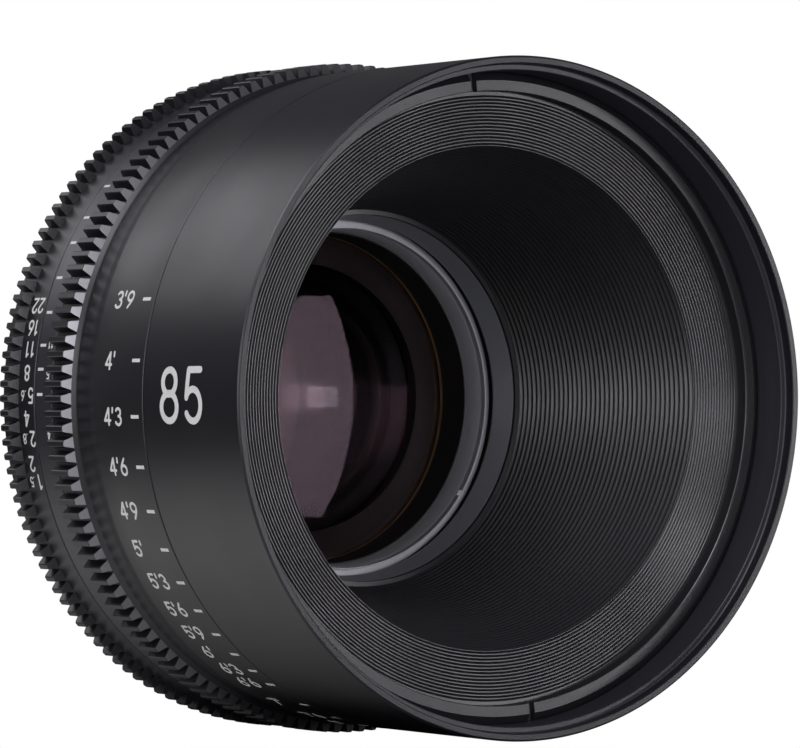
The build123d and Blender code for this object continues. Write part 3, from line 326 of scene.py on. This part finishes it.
# columns at the corners of each tooth, and the share of its height at each
def toothColumns():
    pitch = 360.0 / gear["teeth"]
    rootHalf = math.degrees(gear["rootWidth"] / 2 / gear["root"])
    tipHalf = math.degrees(gear["tipWidth"] / 2 / gear["tip"])
    edge = math.degrees(gear["round"] / gear["tip"])
    offsets = np.array([-rootHalf, -tipHalf, edge - tipHalf, tipHalf - edge, tipHalf, rootHalf])
    turns = (np.arange(gear["teeth"]) + 0.5)[:, None] * pitch + offsets
    return turns.ravel(), np.tile([0.0, gear["tipEdge"], 1.0, 1.0, gear["tipEdge"], 0.0], gear["teeth"])


def gearRows(front, back):
    height = gear["tip"] - gear["root"]
    tall = toothTops * height
    return [
        (gear["root"], front),
        (gear["root"] + tall * gear["shoulder"], front + gear["slope"] * toothTops),
        (gear["root"] + tall, front + (gear["slope"] + gear["round"]) * toothTops),
        (gear["root"] + tall, back - gear["backEase"]),
        (gear["root"] + tall * gear["backTop"], back - gear["backRound"]),
        (gear["root"] + tall * gear["backFoot"] - gear["backDrop"], back),
    ]


toothTurns, toothTops = toothColumns()
r = barrel["radius"]
s = barrel["seam"]
# the front bore and step wear the paler ring look as a painted reflection of the lit baffle face
litBoreRows = [13, 14, 15, 16]  # profile rows of the front bore and the step behind the rim
# the focus gear's tooth end row wears the pale look, partly a painted highlight
toothHighlightRows = [10]  # profile row of the bright tooth ends
goldRows = [3, 4]  # profile rows of the gold line at the rear of the sleeve

# profiles are rows of (radius, depth) that close on themselves
turnedPiece("frontBarrelShell", [
    (r - barrel["edge"], 0.0), (r - 0.08, 0.2), (r, barrel["edge"]), (r, 29.7 - s), (r - s, 29.7),
    (55.0, 29.7), (55.0, 31.7), (52.6, 31.7), (52.6, 23.0), (45.02, 23.0), (45.02, 20.0), (52.6, 20.0),
    (52.6, 12.17), (54.7, 12.17), (54.7, 2.17), (54.82, 2.05), (55.52, 2.05), (55.7, 1.87),
    (55.7, 0.14), (55.84, 0.0),
], "barrelBlack", "lens_body", ["front_barrel"], accent=("paleRingAndPaintedBoreLight", litBoreRows))

turnedPiece("focusRingShell", [
    (55.3, 30.0), (r - s, 30.0), (r, 30.0 + s), (r, 46.0), (r - 0.03, 46.1), (56.33, 48.9), (56.3, 49.05),
    (56.3, 52.3), (56.35, 52.9), (56.42, 53.02), *gearRows(53.67, 60.1),
    (53.4, 60.1), (53.4, 57.0), (49.6, 57.0), (49.6, 54.0), (53.4, 54.0), (53.4, 32.0), (55.3, 32.0),
], "gearBlack", "focus_body", ["focus_ring"], toothTurns, accent=("toothEndHighlight", toothHighlightRows))

turnedPiece("indexRingShell", [
    (54.0, 60.4), (r - s, 60.4), (r, 60.4 + s), (r, 66.2 - s), (r - s, 66.2), (54.0, 66.2), (54.0, 63.9),
    (47.02, 63.9), (47.02, 60.9), (54.0, 60.9),
], "paleRingAndPaintedBoreLight", "lens_body", ["index_ring"])

turnedPiece("irisRingShell", [
    (53.4, 66.5), (r - s, 66.5), (r, 66.5 + s), *gearRows(72.0, 75.9),
    (53.4, 75.9), (53.4, 74.0), (47.05, 74.0), (47.05, 70.0), (53.4, 70.0),
], "gearBlack", "iris_body", ["iris_ring"], toothTurns)

turnedPiece("rearHousingShell", [
    (52.22, 76.2), (54.2 - s, 76.2), (54.2, 76.2 + s), (54.2, 82.3), (54.1, 82.55), (44.6, 88.3),
    (44.5, 88.5), (44.5, 90.8 - s), (44.5 - s, 90.8), (39.2, 90.8), (39.2, 88.4), (45.0, 84.0),
    (45.0, 82.0), (52.22, 82.0),
], "barrelBlack", "lens_body", ["rear_housing"])
print("outer rings made")


# tab radius by angle: four tabs with a notch in the middle of each
def tabColumns():
    half, notch, step = tabs["half"], tabs["notchHalf"], wall["half"]
    edges = (np.array(tabs["middles"])[:, None] + [-half, -notch, notch, half]).ravel()
    spread = np.arange(0, 360, tabs["columnStep"]) + tabs["firstColumn"]
    turns = np.sort(np.concatenate([spread, edges - step, edges + step]))
    off = np.abs(turns % 90 - tabs["middles"][0])
    tab = np.where(off < notch, tabs["notchRadius"], tabs["radius"])
    return turns, np.where(off > half, tabs["gapRadius"], tab)


tabTurns, tabRadius = tabColumns()
turnedPiece("mountPlateShell", [
    (33.5, 91.0), (44.5 - s, 91.0), (44.5, 91.0 + s), (44.5, 94.0 - s), (44.5 - s, 94.0), (29.5, 94.0),
    (29.5, 97.97), (tabRadius - 0.01, 98.0), (tabRadius, 98.15), (tabRadius, 100.85),
    (tabRadius - 0.15, 101.0), (26.99, 101.0), (26.99, 111.9), (26.39, 112.5), (25.5, 112.5),
    (25.2, 112.2), (25.2, 92.5), (33.5, 92.5),
], "mountSteel", "lens_body", ["mount_plate"], tabTurns)

turnedPiece("shimRing", [(39.2, 90.82), (44.4, 90.82), (44.4, 90.98), (39.2, 90.98)], "brass", "lens_body",
            ["mount_shim"])


# countersunk heads with hex sockets, turned about their own axis, then placed
def screwHeads(name, places, headRadius, body, nodes):
    turns = evenTurns(screwLook["columns"])
    socket = headRadius * screwLook["socketShare"]
    hexagon = socket / np.cos(np.radians((turns + 30) % 60 - 30))
    top, bevel = screwLook["proud"], screwLook["bevel"]
    rows = [(hexagon * screwLook["socketFoot"], top - screwLook["socketDepth"]),
            (hexagon, top - screwLook["socketDrop"]), (hexagon + screwLook["socketBreak"], top),
            (headRadius - bevel, top), (headRadius, top - bevel),
            (headRadius * screwLook["coneShare"], -screwLook["sink"])]
    points, quads, caps, uv = turned(rows, turns, (top - screwLook["socketDepth"], -screwLook["sink"]))
    points[:, 1] += flangeDepth
    corners = np.vstack([uv.reshape(-1, 2), np.zeros((caps.size, 2))])
    moved, faces = [], []
    for number, (origin, direction) in enumerate(places):
        turn = np.array(Vector((0, 1, 0)).rotation_difference(Vector(direction)).to_matrix())
        moved.append(points @ turn.T + np.array(origin))
        faces += (quads + number * len(points)).tolist() + (caps + number * len(points)).tolist()
    return meshObject(name, np.vstack(moved), faces, "steel", body, nodes, np.tile(corners, (len(places), 1)))


def onRing(radius, depth, turn):
    a = math.radians(turn)
    return (radius * math.sin(a), depth - flangeDepth, radius * math.cos(a))


places = [(onRing(mountScrews["circle"], mountScrews["depth"], mountScrews["first"] + turn), (0, 1, 0))
          for turn in evenTurns(mountScrews["count"])]
screwHeads("mountScrewHeads", places, mountScrews["head"], "lens_body", ["mount_screws"])
places = [(onRing(housingScrews["circle"], housingScrews["depth"], turn),
           (math.sin(math.radians(turn)), 0, math.cos(math.radians(turn))))
          for turn in evenTurns(housingScrews["count"])]
screwHeads("housingScrewHeads", places, housingScrews["head"], "lens_body", ["rear_housing_screws"])


# slot floor by angle for a ring with two opposite spanner slots
def slotColumns(scaleAngle, width, radius, columns):
    half = math.degrees(width / 2 / radius)
    centres = np.array([scaleAngle - 90, scaleAngle + 90])

    def away(turns):
        return np.abs((turns[:, None] - centres + 180) % 360 - 180).min(axis=1)

    turns = evenTurns(columns)
    step = wall["half"]
    edges = (centres[:, None] + [-half - step, -half + step, 0, half - step, half + step]) % 360
    turns = np.sort(np.concatenate([turns[away(turns) > half + wall["clear"]], edges.ravel()]))
    return turns, away(turns) < half


slotTurns, inSlot = slotColumns(scaleAngle=83.0, width=1.05, radius=53.0, columns=baffle["columns"])
turnedPiece("baffleRingShell", [
    (51.5, 7.97 + 1.06 * inSlot), (51.62, 7.83 + 1.2 * inSlot), (53.31, 7.83 + 1.2 * inSlot),
    (53.42, 7.9 + 1.13 * inSlot), (54.6, 8.66 + 0.37 * inSlot), (54.65, 8.8 + 0.24 * inSlot), (54.65, 10.17),
    (51.5, 10.17),
], "baffleBlack", "lens_body", ["baffle_ring"], slotTurns)

coneFoot = (33.0, 50.0)
mouth = (42.48, 10.99)
baffleRows = [
    (54.68, 10.17), *ridgeRows((51.46, 10.17), mouth, baffle["faceRidges"], (0.0, baffle["faceDepth"]),
                               baffle["land"], baffle["faceLand"]),
    *ridgeRows(mouth, coneFoot, baffle["coneRidges"], (baffle["coneDepth"], 0.0), baffle["land"])[1:],
    (32.2, 50.0),
]
# the lip's thread rows wear the grey that paints in the light on their ridges
lipRows = ridgeRows((32.1, 50.45), (31.3, 55.45), baffle["lipRidges"], (baffle["lipDepth"], 0.0),
                    baffle["lipLand"])
turnedPiece("lightBaffleShell", [
    *baffleRows, *lipRows, (31.3, 55.9), (31.4, 56.0),
    (33.4, 56.0), (35.6, 50.0), (43.78, 13.47), (52.58, 13.47), (52.58, 12.17), (54.68, 12.17),
], "baffleBlack", "lens_body", ["light_baffle"], evenTurns(baffle["columns"]),
            accent=("threadPaintedLight", range(len(baffleRows), len(baffleRows) + len(lipRows) + 1)))

notchTurns, inNotch = slotColumns(scaleAngle=-146.0, width=1.2, radius=30.0, columns=baffle["columns"])
# the front element ring's pale grey is painted light on a satin black ring
turnedPiece("frontElementRingShell", [
    (29.95, 56.35 + 0.95 * inNotch), (30.0, 56.3 + inNotch), (30.12, 56.3 + inNotch),
    (30.2, 56.4 + 0.9 * inNotch), (30.2, 57.8), (31.8, 57.8), (31.8, 62.0), (29.5, 62.0),
    (29.52, 61.8), (29.78, 57.9), (29.95, 57.6),
], "paleRingPaintedLight", "focus_block", ["front_element_ring"], notchTurns)

sleeveThread = {"relief": 0.05, "pitch": 0.45, "rear": 69.4, "count": 15}
turnedPiece("frontSleeveShell", [
    (29.3, 62.0), (31.0, 62.0), (31.0, 69.96), (29.45, 69.96), (29.3, 69.8), (29.3, 69.0),
    *[(29.3 + sleeveThread["relief"] * (k % 2), sleeveThread["rear"] - sleeveThread["pitch"] * k)
      for k in range(1, sleeveThread["count"] + 1)],
], "innerBlack", "focus_block", ["front_sleeve"], evenTurns(baffle["columns"]), accent=("edgeGold", goldRows))
print("front pieces made")


# depth of a sphere of signed radius at distance x from the axis: R - sqrt(R R - x x)
def sag(curve, x):
    return np.sign(curve) * (abs(curve) - np.sqrt(curve * curve - x * x))


glassShape = {"rings": 24, "columns": 144, "bevel": 0.12, "sharp": 40.0}


# a glass element: two polished faces, each out to its own clear radius, and a ground edge.
# Curves are the radii of the front and back face, vertex the depth of the front one's middle.
def lensPiece(name, look, node, curves, clear, edge, vertex, thick):
    rear, bevel = vertex + thick, glassShape["bevel"]
    share = np.arange(1, glassShape["rings"] + 1) / glassShape["rings"]
    rows = list(zip(clear[0] * share, vertex + sag(curves[0], clear[0] * share)))
    share = share[::-1]
    backRows = list(zip(clear[1] * share, rear + sag(curves[1], clear[1] * share)))
    frontRim, backRim = rows[-1][1], backRows[0][1]
    if edge > clear[0]:
        rows.append((edge - bevel, frontRim))
    rows += [(edge, frontRim + bevel), (edge, backRim - bevel)]
    if edge > clear[1]:
        backRows.insert(0, (edge - bevel, backRim))
    turnedPiece(name, rows + backRows, look, "focus_block", [node], evenTurns(glassShape["columns"]),
                (vertex, rear), glassShape["sharp"])


lenses = {
    "frontGlassElement": {"look": "frontGlass", "node": "lens_1", "curves": (62.0, 190.0),
                          "clear": (30.9, 30.9), "edge": 31.0, "vertex": 62.6, "thick": 6.8},
    "secondGlassElement": {"look": "innerGlass", "node": "lens_2", "curves": (48.0, 300.0),
                           "clear": (24.4, 24.4), "edge": 24.5, "vertex": 69.7, "thick": 6.6},
    "thirdGlassElement": {"look": "innerGlass", "node": "lens_3", "curves": (300.0, 38.0),
                          "clear": (24.4, 16.5), "edge": 24.5, "vertex": 76.3, "thick": 1.4},
    "rearGlassElement": {"look": "frontGlass", "node": "lens_7", "curves": (85.0, 400.0),
                         "clear": (17.4, 17.4), "edge": 17.5, "vertex": 106.2, "thick": 4.0},
}
for name, lens in lenses.items():
    lensPiece(name, **lens)

turnedPiece("rearCellShell", [
    (15.2, 86.8), (22.58, 86.8), (22.58, 90.8), (24.9, 90.8), (24.9, 92.6), (21.0, 92.6), (21.0, 112.4),
    (20.8, 112.6), (17.75, 112.6), (17.55, 112.4), (17.55, 87.7), (15.2, 87.7),
], "innerBlack", "focus_block", ["rear_cell"], evenTurns(baffle["columns"]))

ringTurns, ringSlot = slotColumns(scaleAngle=90.0, width=1.05, radius=16.7, columns=glassShape["columns"])
turnedPiece("rearRetainingShell", [
    (15.9, 110.62), (17.48, 110.62), (17.48, 112.2 - 0.9 * ringSlot), (17.38, 112.3 - 1.0 * ringSlot),
    (16.0, 112.3 - 1.0 * ringSlot), (15.9, 112.2 - 0.9 * ringSlot),
], "baffleBlack", "focus_block", ["rear_retaining_ring"], ringTurns)
print("glass made")


# single-stroke figures on a grid 1 high and 0.5 wide
def bend(cx, cy, rx, ry, start, end, steps=18):
    turns = np.radians(np.linspace(start, end, steps + 1))
    return np.stack([cx + rx * np.cos(turns), cy + ry * np.sin(turns)], axis=-1).tolist()


# a loop that crosses itself: x = cos t / (1 + sin t sin t), y = sin t cos t / the same
loopTurns = np.linspace(0, 2 * math.pi, 41)
loopShare = np.cos(loopTurns) / (1 + np.sin(loopTurns) ** 2)
figures = {
    "0": [bend(0.24, 0.76, 0.24, 0.24, 0, 180) + bend(0.24, 0.24, 0.24, 0.24, 180, 360) + [(0.48, 0.76)]],
    "1": [[(0.26, 1.0), (0.26, 0.0)], [(0.26, 1.0), (0.08, 0.82)]],
    "2": [bend(0.24, 0.75, 0.23, 0.25, 175, -35) + [(0.0, 0.0)], [(0.0, 0.0), (0.48, 0.0)]],
    "3": [bend(0.23, 0.76, 0.21, 0.24, 150, -80), bend(0.23, 0.27, 0.25, 0.27, 85, -155)],
    "4": [[(0.34, 1.0), (0.0, 0.26)], [(0.0, 0.26), (0.50, 0.26)], [(0.36, 1.0), (0.36, 0.0)]],
    "5": [[(0.45, 1.0), (0.08, 1.0)], [(0.08, 1.0), (0.03, 0.46)],
          bend(0.235, 0.31, 0.245, 0.31, 148, -148, 26)],
    "6": [bend(0.24, 0.29, 0.24, 0.29, 0, 360, 28), [(0.005, 0.33), (0.04, 0.5), (0.13, 0.68), (0.34, 1.0)]],
    "7": [[(0.0, 1.0), (0.48, 1.0)], [(0.48, 1.0), (0.15, 0.0)]],
    "8": [bend(0.25, 0.76, 0.21, 0.24, 90, 450, 28), bend(0.25, 0.27, 0.25, 0.27, 90, 450, 28)],
    "9": [bend(0.24, 0.71, 0.24, 0.29, 0, 360, 28), [(0.475, 0.67), (0.44, 0.5), (0.35, 0.32), (0.14, 0.0)]],
    "'": [[(0.05, 1.02), (0.04, 0.78)]],
    ".": [[(0.04, 0.0), (0.06, 0.0)]],
    "~": [np.stack([0.42 + 0.42 * loopShare, 0.42 + 0.75 * np.sin(loopTurns) * loopShare], axis=-1).tolist()],
}
figureWidth = {"1": 0.40, "'": 0.16, ".": 0.16, "~": 0.98}


# a flattened tube along a stroke, with rounded or square ends, in (across, up, out).
# The stroke is cut into short steps first, so that it follows the barrel's curve.
def strokeMesh(stroke, half, square=False):
    line = np.array(stroke, float)
    counts = np.ceil(np.linalg.norm(np.diff(line, axis=0), axis=1) / marks["step"]).astype(int)
    owner = np.repeat(np.arange(len(counts)), counts)
    within = np.arange(len(owner)) - np.repeat(np.cumsum(counts) - counts, counts)
    at = np.append(owner + within / counts[owner], len(counts))
    line = np.stack([np.interp(at, np.arange(len(line)), line[:, k]) for k in (0, 1)], axis=-1)
    unit = np.diff(line, axis=0)
    unit /= np.linalg.norm(unit, axis=1)[:, None]
    way = np.vstack([unit[:1], unit[:-1] + unit[1:], unit[-1:]])
    way /= np.linalg.norm(way, axis=1)[:, None]
    wide = half / np.maximum(marks["miter"], np.append(1.0, np.einsum("ij,ij->i", unit, way[1:])))
    t = np.radians([] if square else marks["capTurns"])
    reach = half * np.sin(t)[:, None]
    centre = np.vstack([line[0] - way[0] * reach, line, line[-1] + way[-1] * reach[::-1]])
    way = np.vstack([np.repeat(way[:1], len(t), axis=0), way, np.repeat(way[-1:], len(t), axis=0)])
    wide = np.concatenate([half * np.cos(t), wide, half * np.cos(t[::-1])])
    sides = marks["sides"]
    turn = 2 * math.pi * (np.arange(sides) + 0.5) / sides
    normal = np.stack([-way[:, 1], way[:, 0]], axis=-1)
    flat = centre[:, None] + normal[:, None] * (wide[:, None] * np.cos(turn) * marks["widen"])[..., None]
    out = np.where(np.sin(turn) > 0, marks["proud"], -marks["sink"])
    out = out * np.minimum(1.0, marks["flank"] * np.abs(np.sin(turn)))
    points = np.concatenate([flat, np.broadcast_to(out[:, None], (len(centre), sides, 1))], axis=-1)
    points = points.reshape(-1, 3)
    i, k = np.mgrid[0:len(centre) - 1, 0:sides]
    n = (k + 1) % sides
    quads = np.stack([i * sides + k, (i + 1) * sides + k, (i + 1) * sides + n, i * sides + n], axis=-1)
    quads = quads.reshape(-1, 4)
    ends = np.stack([np.arange(sides), np.arange(sides)[::-1] + (len(centre) - 1) * sides])
    return points, quads, ends


def textStrokes(text, height, wide, spacing):
    strokes, at = [], 0.0
    for sign in text:
        strokes += [(np.array(stroke) + (at, 0)) * (height * wide, height) for stroke in figures[sign]]
        at += figureWidth.get(sign, marks["figureWidth"]) + spacing
    return strokes, (at - spacing) * height * wide


# a mark on a barrel: strokes centred at a depth and scale angle. Reading goes to
# the front where way is 1, and to the rear, upside down, where way is -1.
def placeStrokes(strokes, half, radius, depth, scaleAngle, way, centre, square=False):
    result = []
    for stroke in strokes:
        points, quads, ends = strokeMesh(stroke, half, square)
        across, up = points[:, 0] - centre[0], points[:, 1] - centre[1]
        angle = math.radians(scaleAngle) + way * up / radius
        out = radius + points[:, 2]
        placed = np.stack([-out * np.cos(angle), depth - flangeDepth - way * across, out * np.sin(angle)],
                          axis=-1)
        result.append((placed, quads, ends))
    return result


def textMarks(text, size, radius, depth, scaleAngle, way=1, centre=None):
    height, wide, half, spacing = size
    strokes, width = textStrokes(text, height, wide, spacing)
    middle = width / 2 if centre is None else centre
    return placeStrokes(strokes, half, radius, depth, scaleAngle, way, (middle, height / 2))


def tickMarks(length, half, radius, depth, angles):
    result = []
    for angle in angles:
        result += placeStrokes([[(0.0, 0.0), (length / 2, 0.0), (length, 0.0)]], half, radius, depth, angle,
                               1, (length / 2, 0.0), True)
    return result


def marksObject(name, parts, body):
    points, faces, base = [], [], 0
    for placed, quads, ends in parts:
        way = 1 if enclosed(placed, quads) > 0 else -1
        points.append(placed)
        faces += (quads[:, ::way] + base).tolist() + (ends[:, ::way] + base).tolist()
        base += len(placed)
    return meshObject(name, np.vstack(points), faces, "white", body, sharp=marks["sharp"])


# text sizes: height, widening, half stroke width and spacing between figures. The focus scale
# turns by span / (distance + offset) from its infinity mark, at zero.
focusScale = {"zero": -175.58, "span": 253270.0, "offset": 177.2, "size": (2.7, 1.35, 0.24, 0.16),
              "rear": 42.45, "middle": 39.8, "tick": 32.6, "tickLength": 2.5, "tickHalf": 0.29}
irisScale = {"size": (2.45, 1.2, 0.2, 0.2), "tenths": (1.6, 1.1, 0.13, 0.14), "double": 69.0,
             "single": 69.2, "whole": 67.7, "fraction": 70.2}
indexScale = {"size": (1.5, 1.1, 0.12, 0.16), "text": 61.9, "tick": 64.5, "tickLength": 1.9,
              "tickHalf": 0.25}
focalText = {"size": (8.35, 1.16, 0.57, 0.285), "depth": 17.6}
# distances as feet and inches, and apertures with their scale angles
feet = [(3, 9), (4, 0), (4, 3), (4, 6), (4, 9), (5, 0), (5, 3), (5, 6), (5, 9), (6, 0), (6, 3), (6, 6),
        (7, 0), (7, 6), (8, 0), (9, 0), (10, 0), (12, 0), (15, 0), (20, 0), (30, 0), (60, 0)]
stops = [("22", 15.65), ("16", 11.7), ("11", 7.9), ("8", 3.8), ("5.6", -0.1), ("4", -4.1), ("2.8", -7.6),
         ("2", -12.0), ("1.5", -15.2)]
indexTicks = [0.1, 4.45, 8.6, 14.4, 20.7, 27.4, 32.5, 39.4]
indexFigures = [("11", 8.8), ("5", 3.6), ("4", -7.0)]
footMm, inchMm = 304.8, 25.4


def focusAngle(distance):
    return focusScale["zero"] + focusScale["span"] / (distance + focusScale["offset"])


parts, ticks = [], [focusScale["zero"]]
for foot, inch in feet:
    angle = focusAngle(foot * footMm + inch * inchMm)
    parts += textMarks(f"{foot}'{inch}" if inch else f"{foot}'", focusScale["size"], barrel["radius"],
                       focusScale["rear"], angle, 1, 0.0)
    ticks.append(angle)
parts += textMarks("~", focusScale["size"], barrel["radius"], focusScale["middle"], focusScale["zero"])
parts += tickMarks(focusScale["tickLength"], focusScale["tickHalf"], barrel["radius"], focusScale["tick"],
                   ticks)
marksObject("focusScaleMarks", parts, "focus_body")

parts = []
for text, angle in stops:
    whole, dot, tenths = text.partition(".")
    place = "whole" if dot else ("single" if len(whole) == 1 else "double")
    parts += textMarks(whole, irisScale["size"], barrel["radius"], irisScale[place], angle, -1)
    if dot:
        parts += textMarks("." + tenths, irisScale["tenths"], barrel["radius"], irisScale["fraction"], angle,
                           -1)
marksObject("irisScaleMarks", parts, "iris_body")

parts = tickMarks(indexScale["tickLength"], indexScale["tickHalf"], barrel["radius"], indexScale["tick"],
                  indexTicks)
for text, angle in indexFigures:
    parts += textMarks(text, indexScale["size"], barrel["radius"], indexScale["text"], angle, -1)
marksObject("indexRingMarks", parts, "lens_body")

focal = textMarks("85", focalText["size"], barrel["radius"], focalText["depth"], 0.0)
marksObject("focalLengthFigures", focal, "lens_body")
print("marks made")

# CAD nodes take the look of their record slot, and those seen through the glass are black
slotLooks = {
    "black_anodised": "barrelBlack", "matte_black_anodised": "innerBlack", "steel": "steel",
    "bare_aluminium": "bareAluminium", "mount_steel": "mountSteel", "brass": "brass",
    "slip_plastic": "plastic", "coated_glass": "innerGlass", "blackened_steel": "bladeBlack",
}
slotOf = {part["node"]: part["material_slot"] for part in frame["record"]["subparts"]}
behindGlass = ("front_spacer", "front_cell", "iris_housing")
for node, piece in frame["nodes"].items():
    look = looks["innerBlack" if node in behindGlass else slotLooks[slotOf[node]]]
    piece.data.materials.clear()
    piece.data.materials.append(look)


# floor: plain white to the camera, pale paper to light, and dark to mirrors but for
# a white card beside the lens that lights the lower left of the barrel
def paperLook(name, colour, card):
    material = newMaterial(name)
    place = addNode(material, "ShaderNodeTexCoord").outputs["Object"]
    fibre = addNode(material, "ShaderNodeTexNoise", {"Scale": texture["fibre"], "Detail": 3.0}, Vector=place)
    shade = addNode(material, "ShaderNodeMixRGB", {"blend_type": "MULTIPLY", "Fac": texture["fibreMottle"],
                    1: linear(colour)}, Color2=fibre.outputs[1])
    paper = addNode(material, "ShaderNodeBsdfDiffuse", Color=shade.outputs[0])
    beside = addNode(material, "ShaderNodeSeparateXYZ", Vector=place)
    edge = addNode(material, "ShaderNodeMapRange", {"From Min": card["near"], "From Max": card["full"],
                   "To Max": card["glow"]}, Value=beside.outputs["X"])
    away = addNode(material, "ShaderNodeVectorMath", {"operation": "LENGTH"}, Vector=place)
    fade = addNode(material, "ShaderNodeMapRange", {"From Min": card["fade"], "From Max": card["end"],
                   "To Max": 0.0}, Value=away.outputs["Value"], To_Min=edge.outputs[0])
    mirrored = addNode(material, "ShaderNodeEmission", {"Color": studio["white"]}, Strength=fade.outputs[0])
    white = addNode(material, "ShaderNodeEmission", {"Color": studio["white"], "Strength": 1.0})
    path = addNode(material, "ShaderNodeLightPath")
    inner, outer = (addNode(material, "ShaderNodeMixShader") for _ in range(2))
    link = material.node_tree.links.new
    link(path.outputs["Is Glossy Ray"], inner.inputs[0])
    link(paper.outputs[0], inner.inputs[1])
    link(mirrored.outputs[0], inner.inputs[2])
    link(path.outputs["Is Camera Ray"], outer.inputs[0])
    link(inner.outputs[0], outer.inputs[1])
    link(white.outputs[0], outer.inputs[2])
    return output(material, outer.outputs[0])


looks["paper"] = paperLook("palePaperFloor", "#E8E8E8", floorLook["card"])
floorMesh = bpy.data.meshes.new("paleFloor")
sides = floorLook["sides"]
t = np.linspace(0, 2 * math.pi, sides, endpoint=False)
drop = np.full(sides, floorLook["height"] / floorLook["radius"])
corners = np.stack([np.cos(t), np.sin(t), drop], axis=-1)
floorMesh.from_pydata((corners * floorLook["radius"] * mm).tolist(), [], [list(range(sides))])
floorMesh.materials.append(looks["paper"])
floor = bpy.data.objects.new("paleFloor", floorMesh)
bpy.context.scene.collection.objects.link(floor)

world = bpy.data.worlds.new("studioWorld")
bpy.context.scene.world = world
world.use_nodes = True
world.node_tree.nodes.clear()
path = addNode(world, "ShaderNodeLightPath")
seen = addNode(world, "ShaderNodeBackground", {"Color": studio["white"]})
fill = addNode(world, "ShaderNodeBackground", {"Color": studio["fillColour"], "Strength": studio["fill"]})
mixer = addNode(world, "ShaderNodeMixShader", Fac=path.outputs["Is Camera Ray"])
ending = addNode(world, "ShaderNodeOutputWorld")
world.node_tree.links.new(fill.outputs[0], mixer.inputs[1])
world.node_tree.links.new(seen.outputs[0], mixer.inputs[2])
world.node_tree.links.new(mixer.outputs[0], ending.inputs["Surface"])

# soft lights: direction from the lens, distance and size in metres, power in watts
lights = {
    "backStrip": {"direction": (-0.30, 0.83, 0.47), "distance": 1.2, "size": (0.60, 0.50), "power": 1.4},
    "frontPanel": {"direction": (-0.05, -0.99, 0.05), "distance": 1.1, "size": (0.50, 0.42), "power": 4.5},
    "topLeft": {"direction": (-0.62, -0.30, 0.72), "distance": 1.3, "size": (0.70, 0.50), "power": 7.0},
    "leftFill": {"direction": (-0.93, -0.36, 0.08), "distance": 1.3, "size": (0.50, 0.50), "power": 3.5},
    "rightPanel": {"direction": (0.58, -0.79, -0.16), "distance": 1.3, "size": (0.50, 0.60), "power": 8.0},
    "nearFill": {"direction": (-0.44, -0.89, -0.05), "distance": 1.2, "size": (0.25, 0.25), "power": 2.5},
}
centre = Vector(studio["centre"])
for name, light in lights.items():
    lamp = bpy.data.lights.new(name, "AREA")
    lamp.shape = "RECTANGLE"
    lamp.size, lamp.size_y = light["size"]
    lamp.energy = light["power"]
    lamp.color = studio["lampColour"]
    holder = bpy.data.objects.new(name, lamp)
    way = Vector(light["direction"]).normalized()
    facing = way.to_track_quat("Z", "Y").to_matrix().to_4x4()
    holder.matrix_world = Matrix.Translation(centre + way * light["distance"]) @ facing
    bpy.context.scene.collection.objects.link(holder)

yaw, pitch, roll = (math.radians(cameraSpot[key]) for key in ("yaw", "pitch", "roll"))
forward = Vector((math.sin(yaw) * math.cos(pitch), math.cos(yaw) * math.cos(pitch), math.sin(pitch)))
level = Vector((math.cos(yaw), -math.sin(yaw), 0))
right = level * math.cos(roll) + level.cross(forward) * math.sin(roll)
cameraData = bpy.data.cameras.new("photoCamera")
cameraData.sensor_width = cameraSpot["sensor"]
cameraData.lens = cameraSpot["lens"]
cameraData.clip_start = cameraSpot["nearest"]
camera = bpy.data.objects.new("photoCamera", cameraData)
turn = Matrix((right, right.cross(forward), -forward)).transposed()
camera.matrix_world = Matrix.Translation(cameraSpot["place"]) @ turn.to_4x4()
bpy.context.scene.collection.objects.link(camera)
bpy.context.scene.camera = camera
print("stage, lights and camera made")
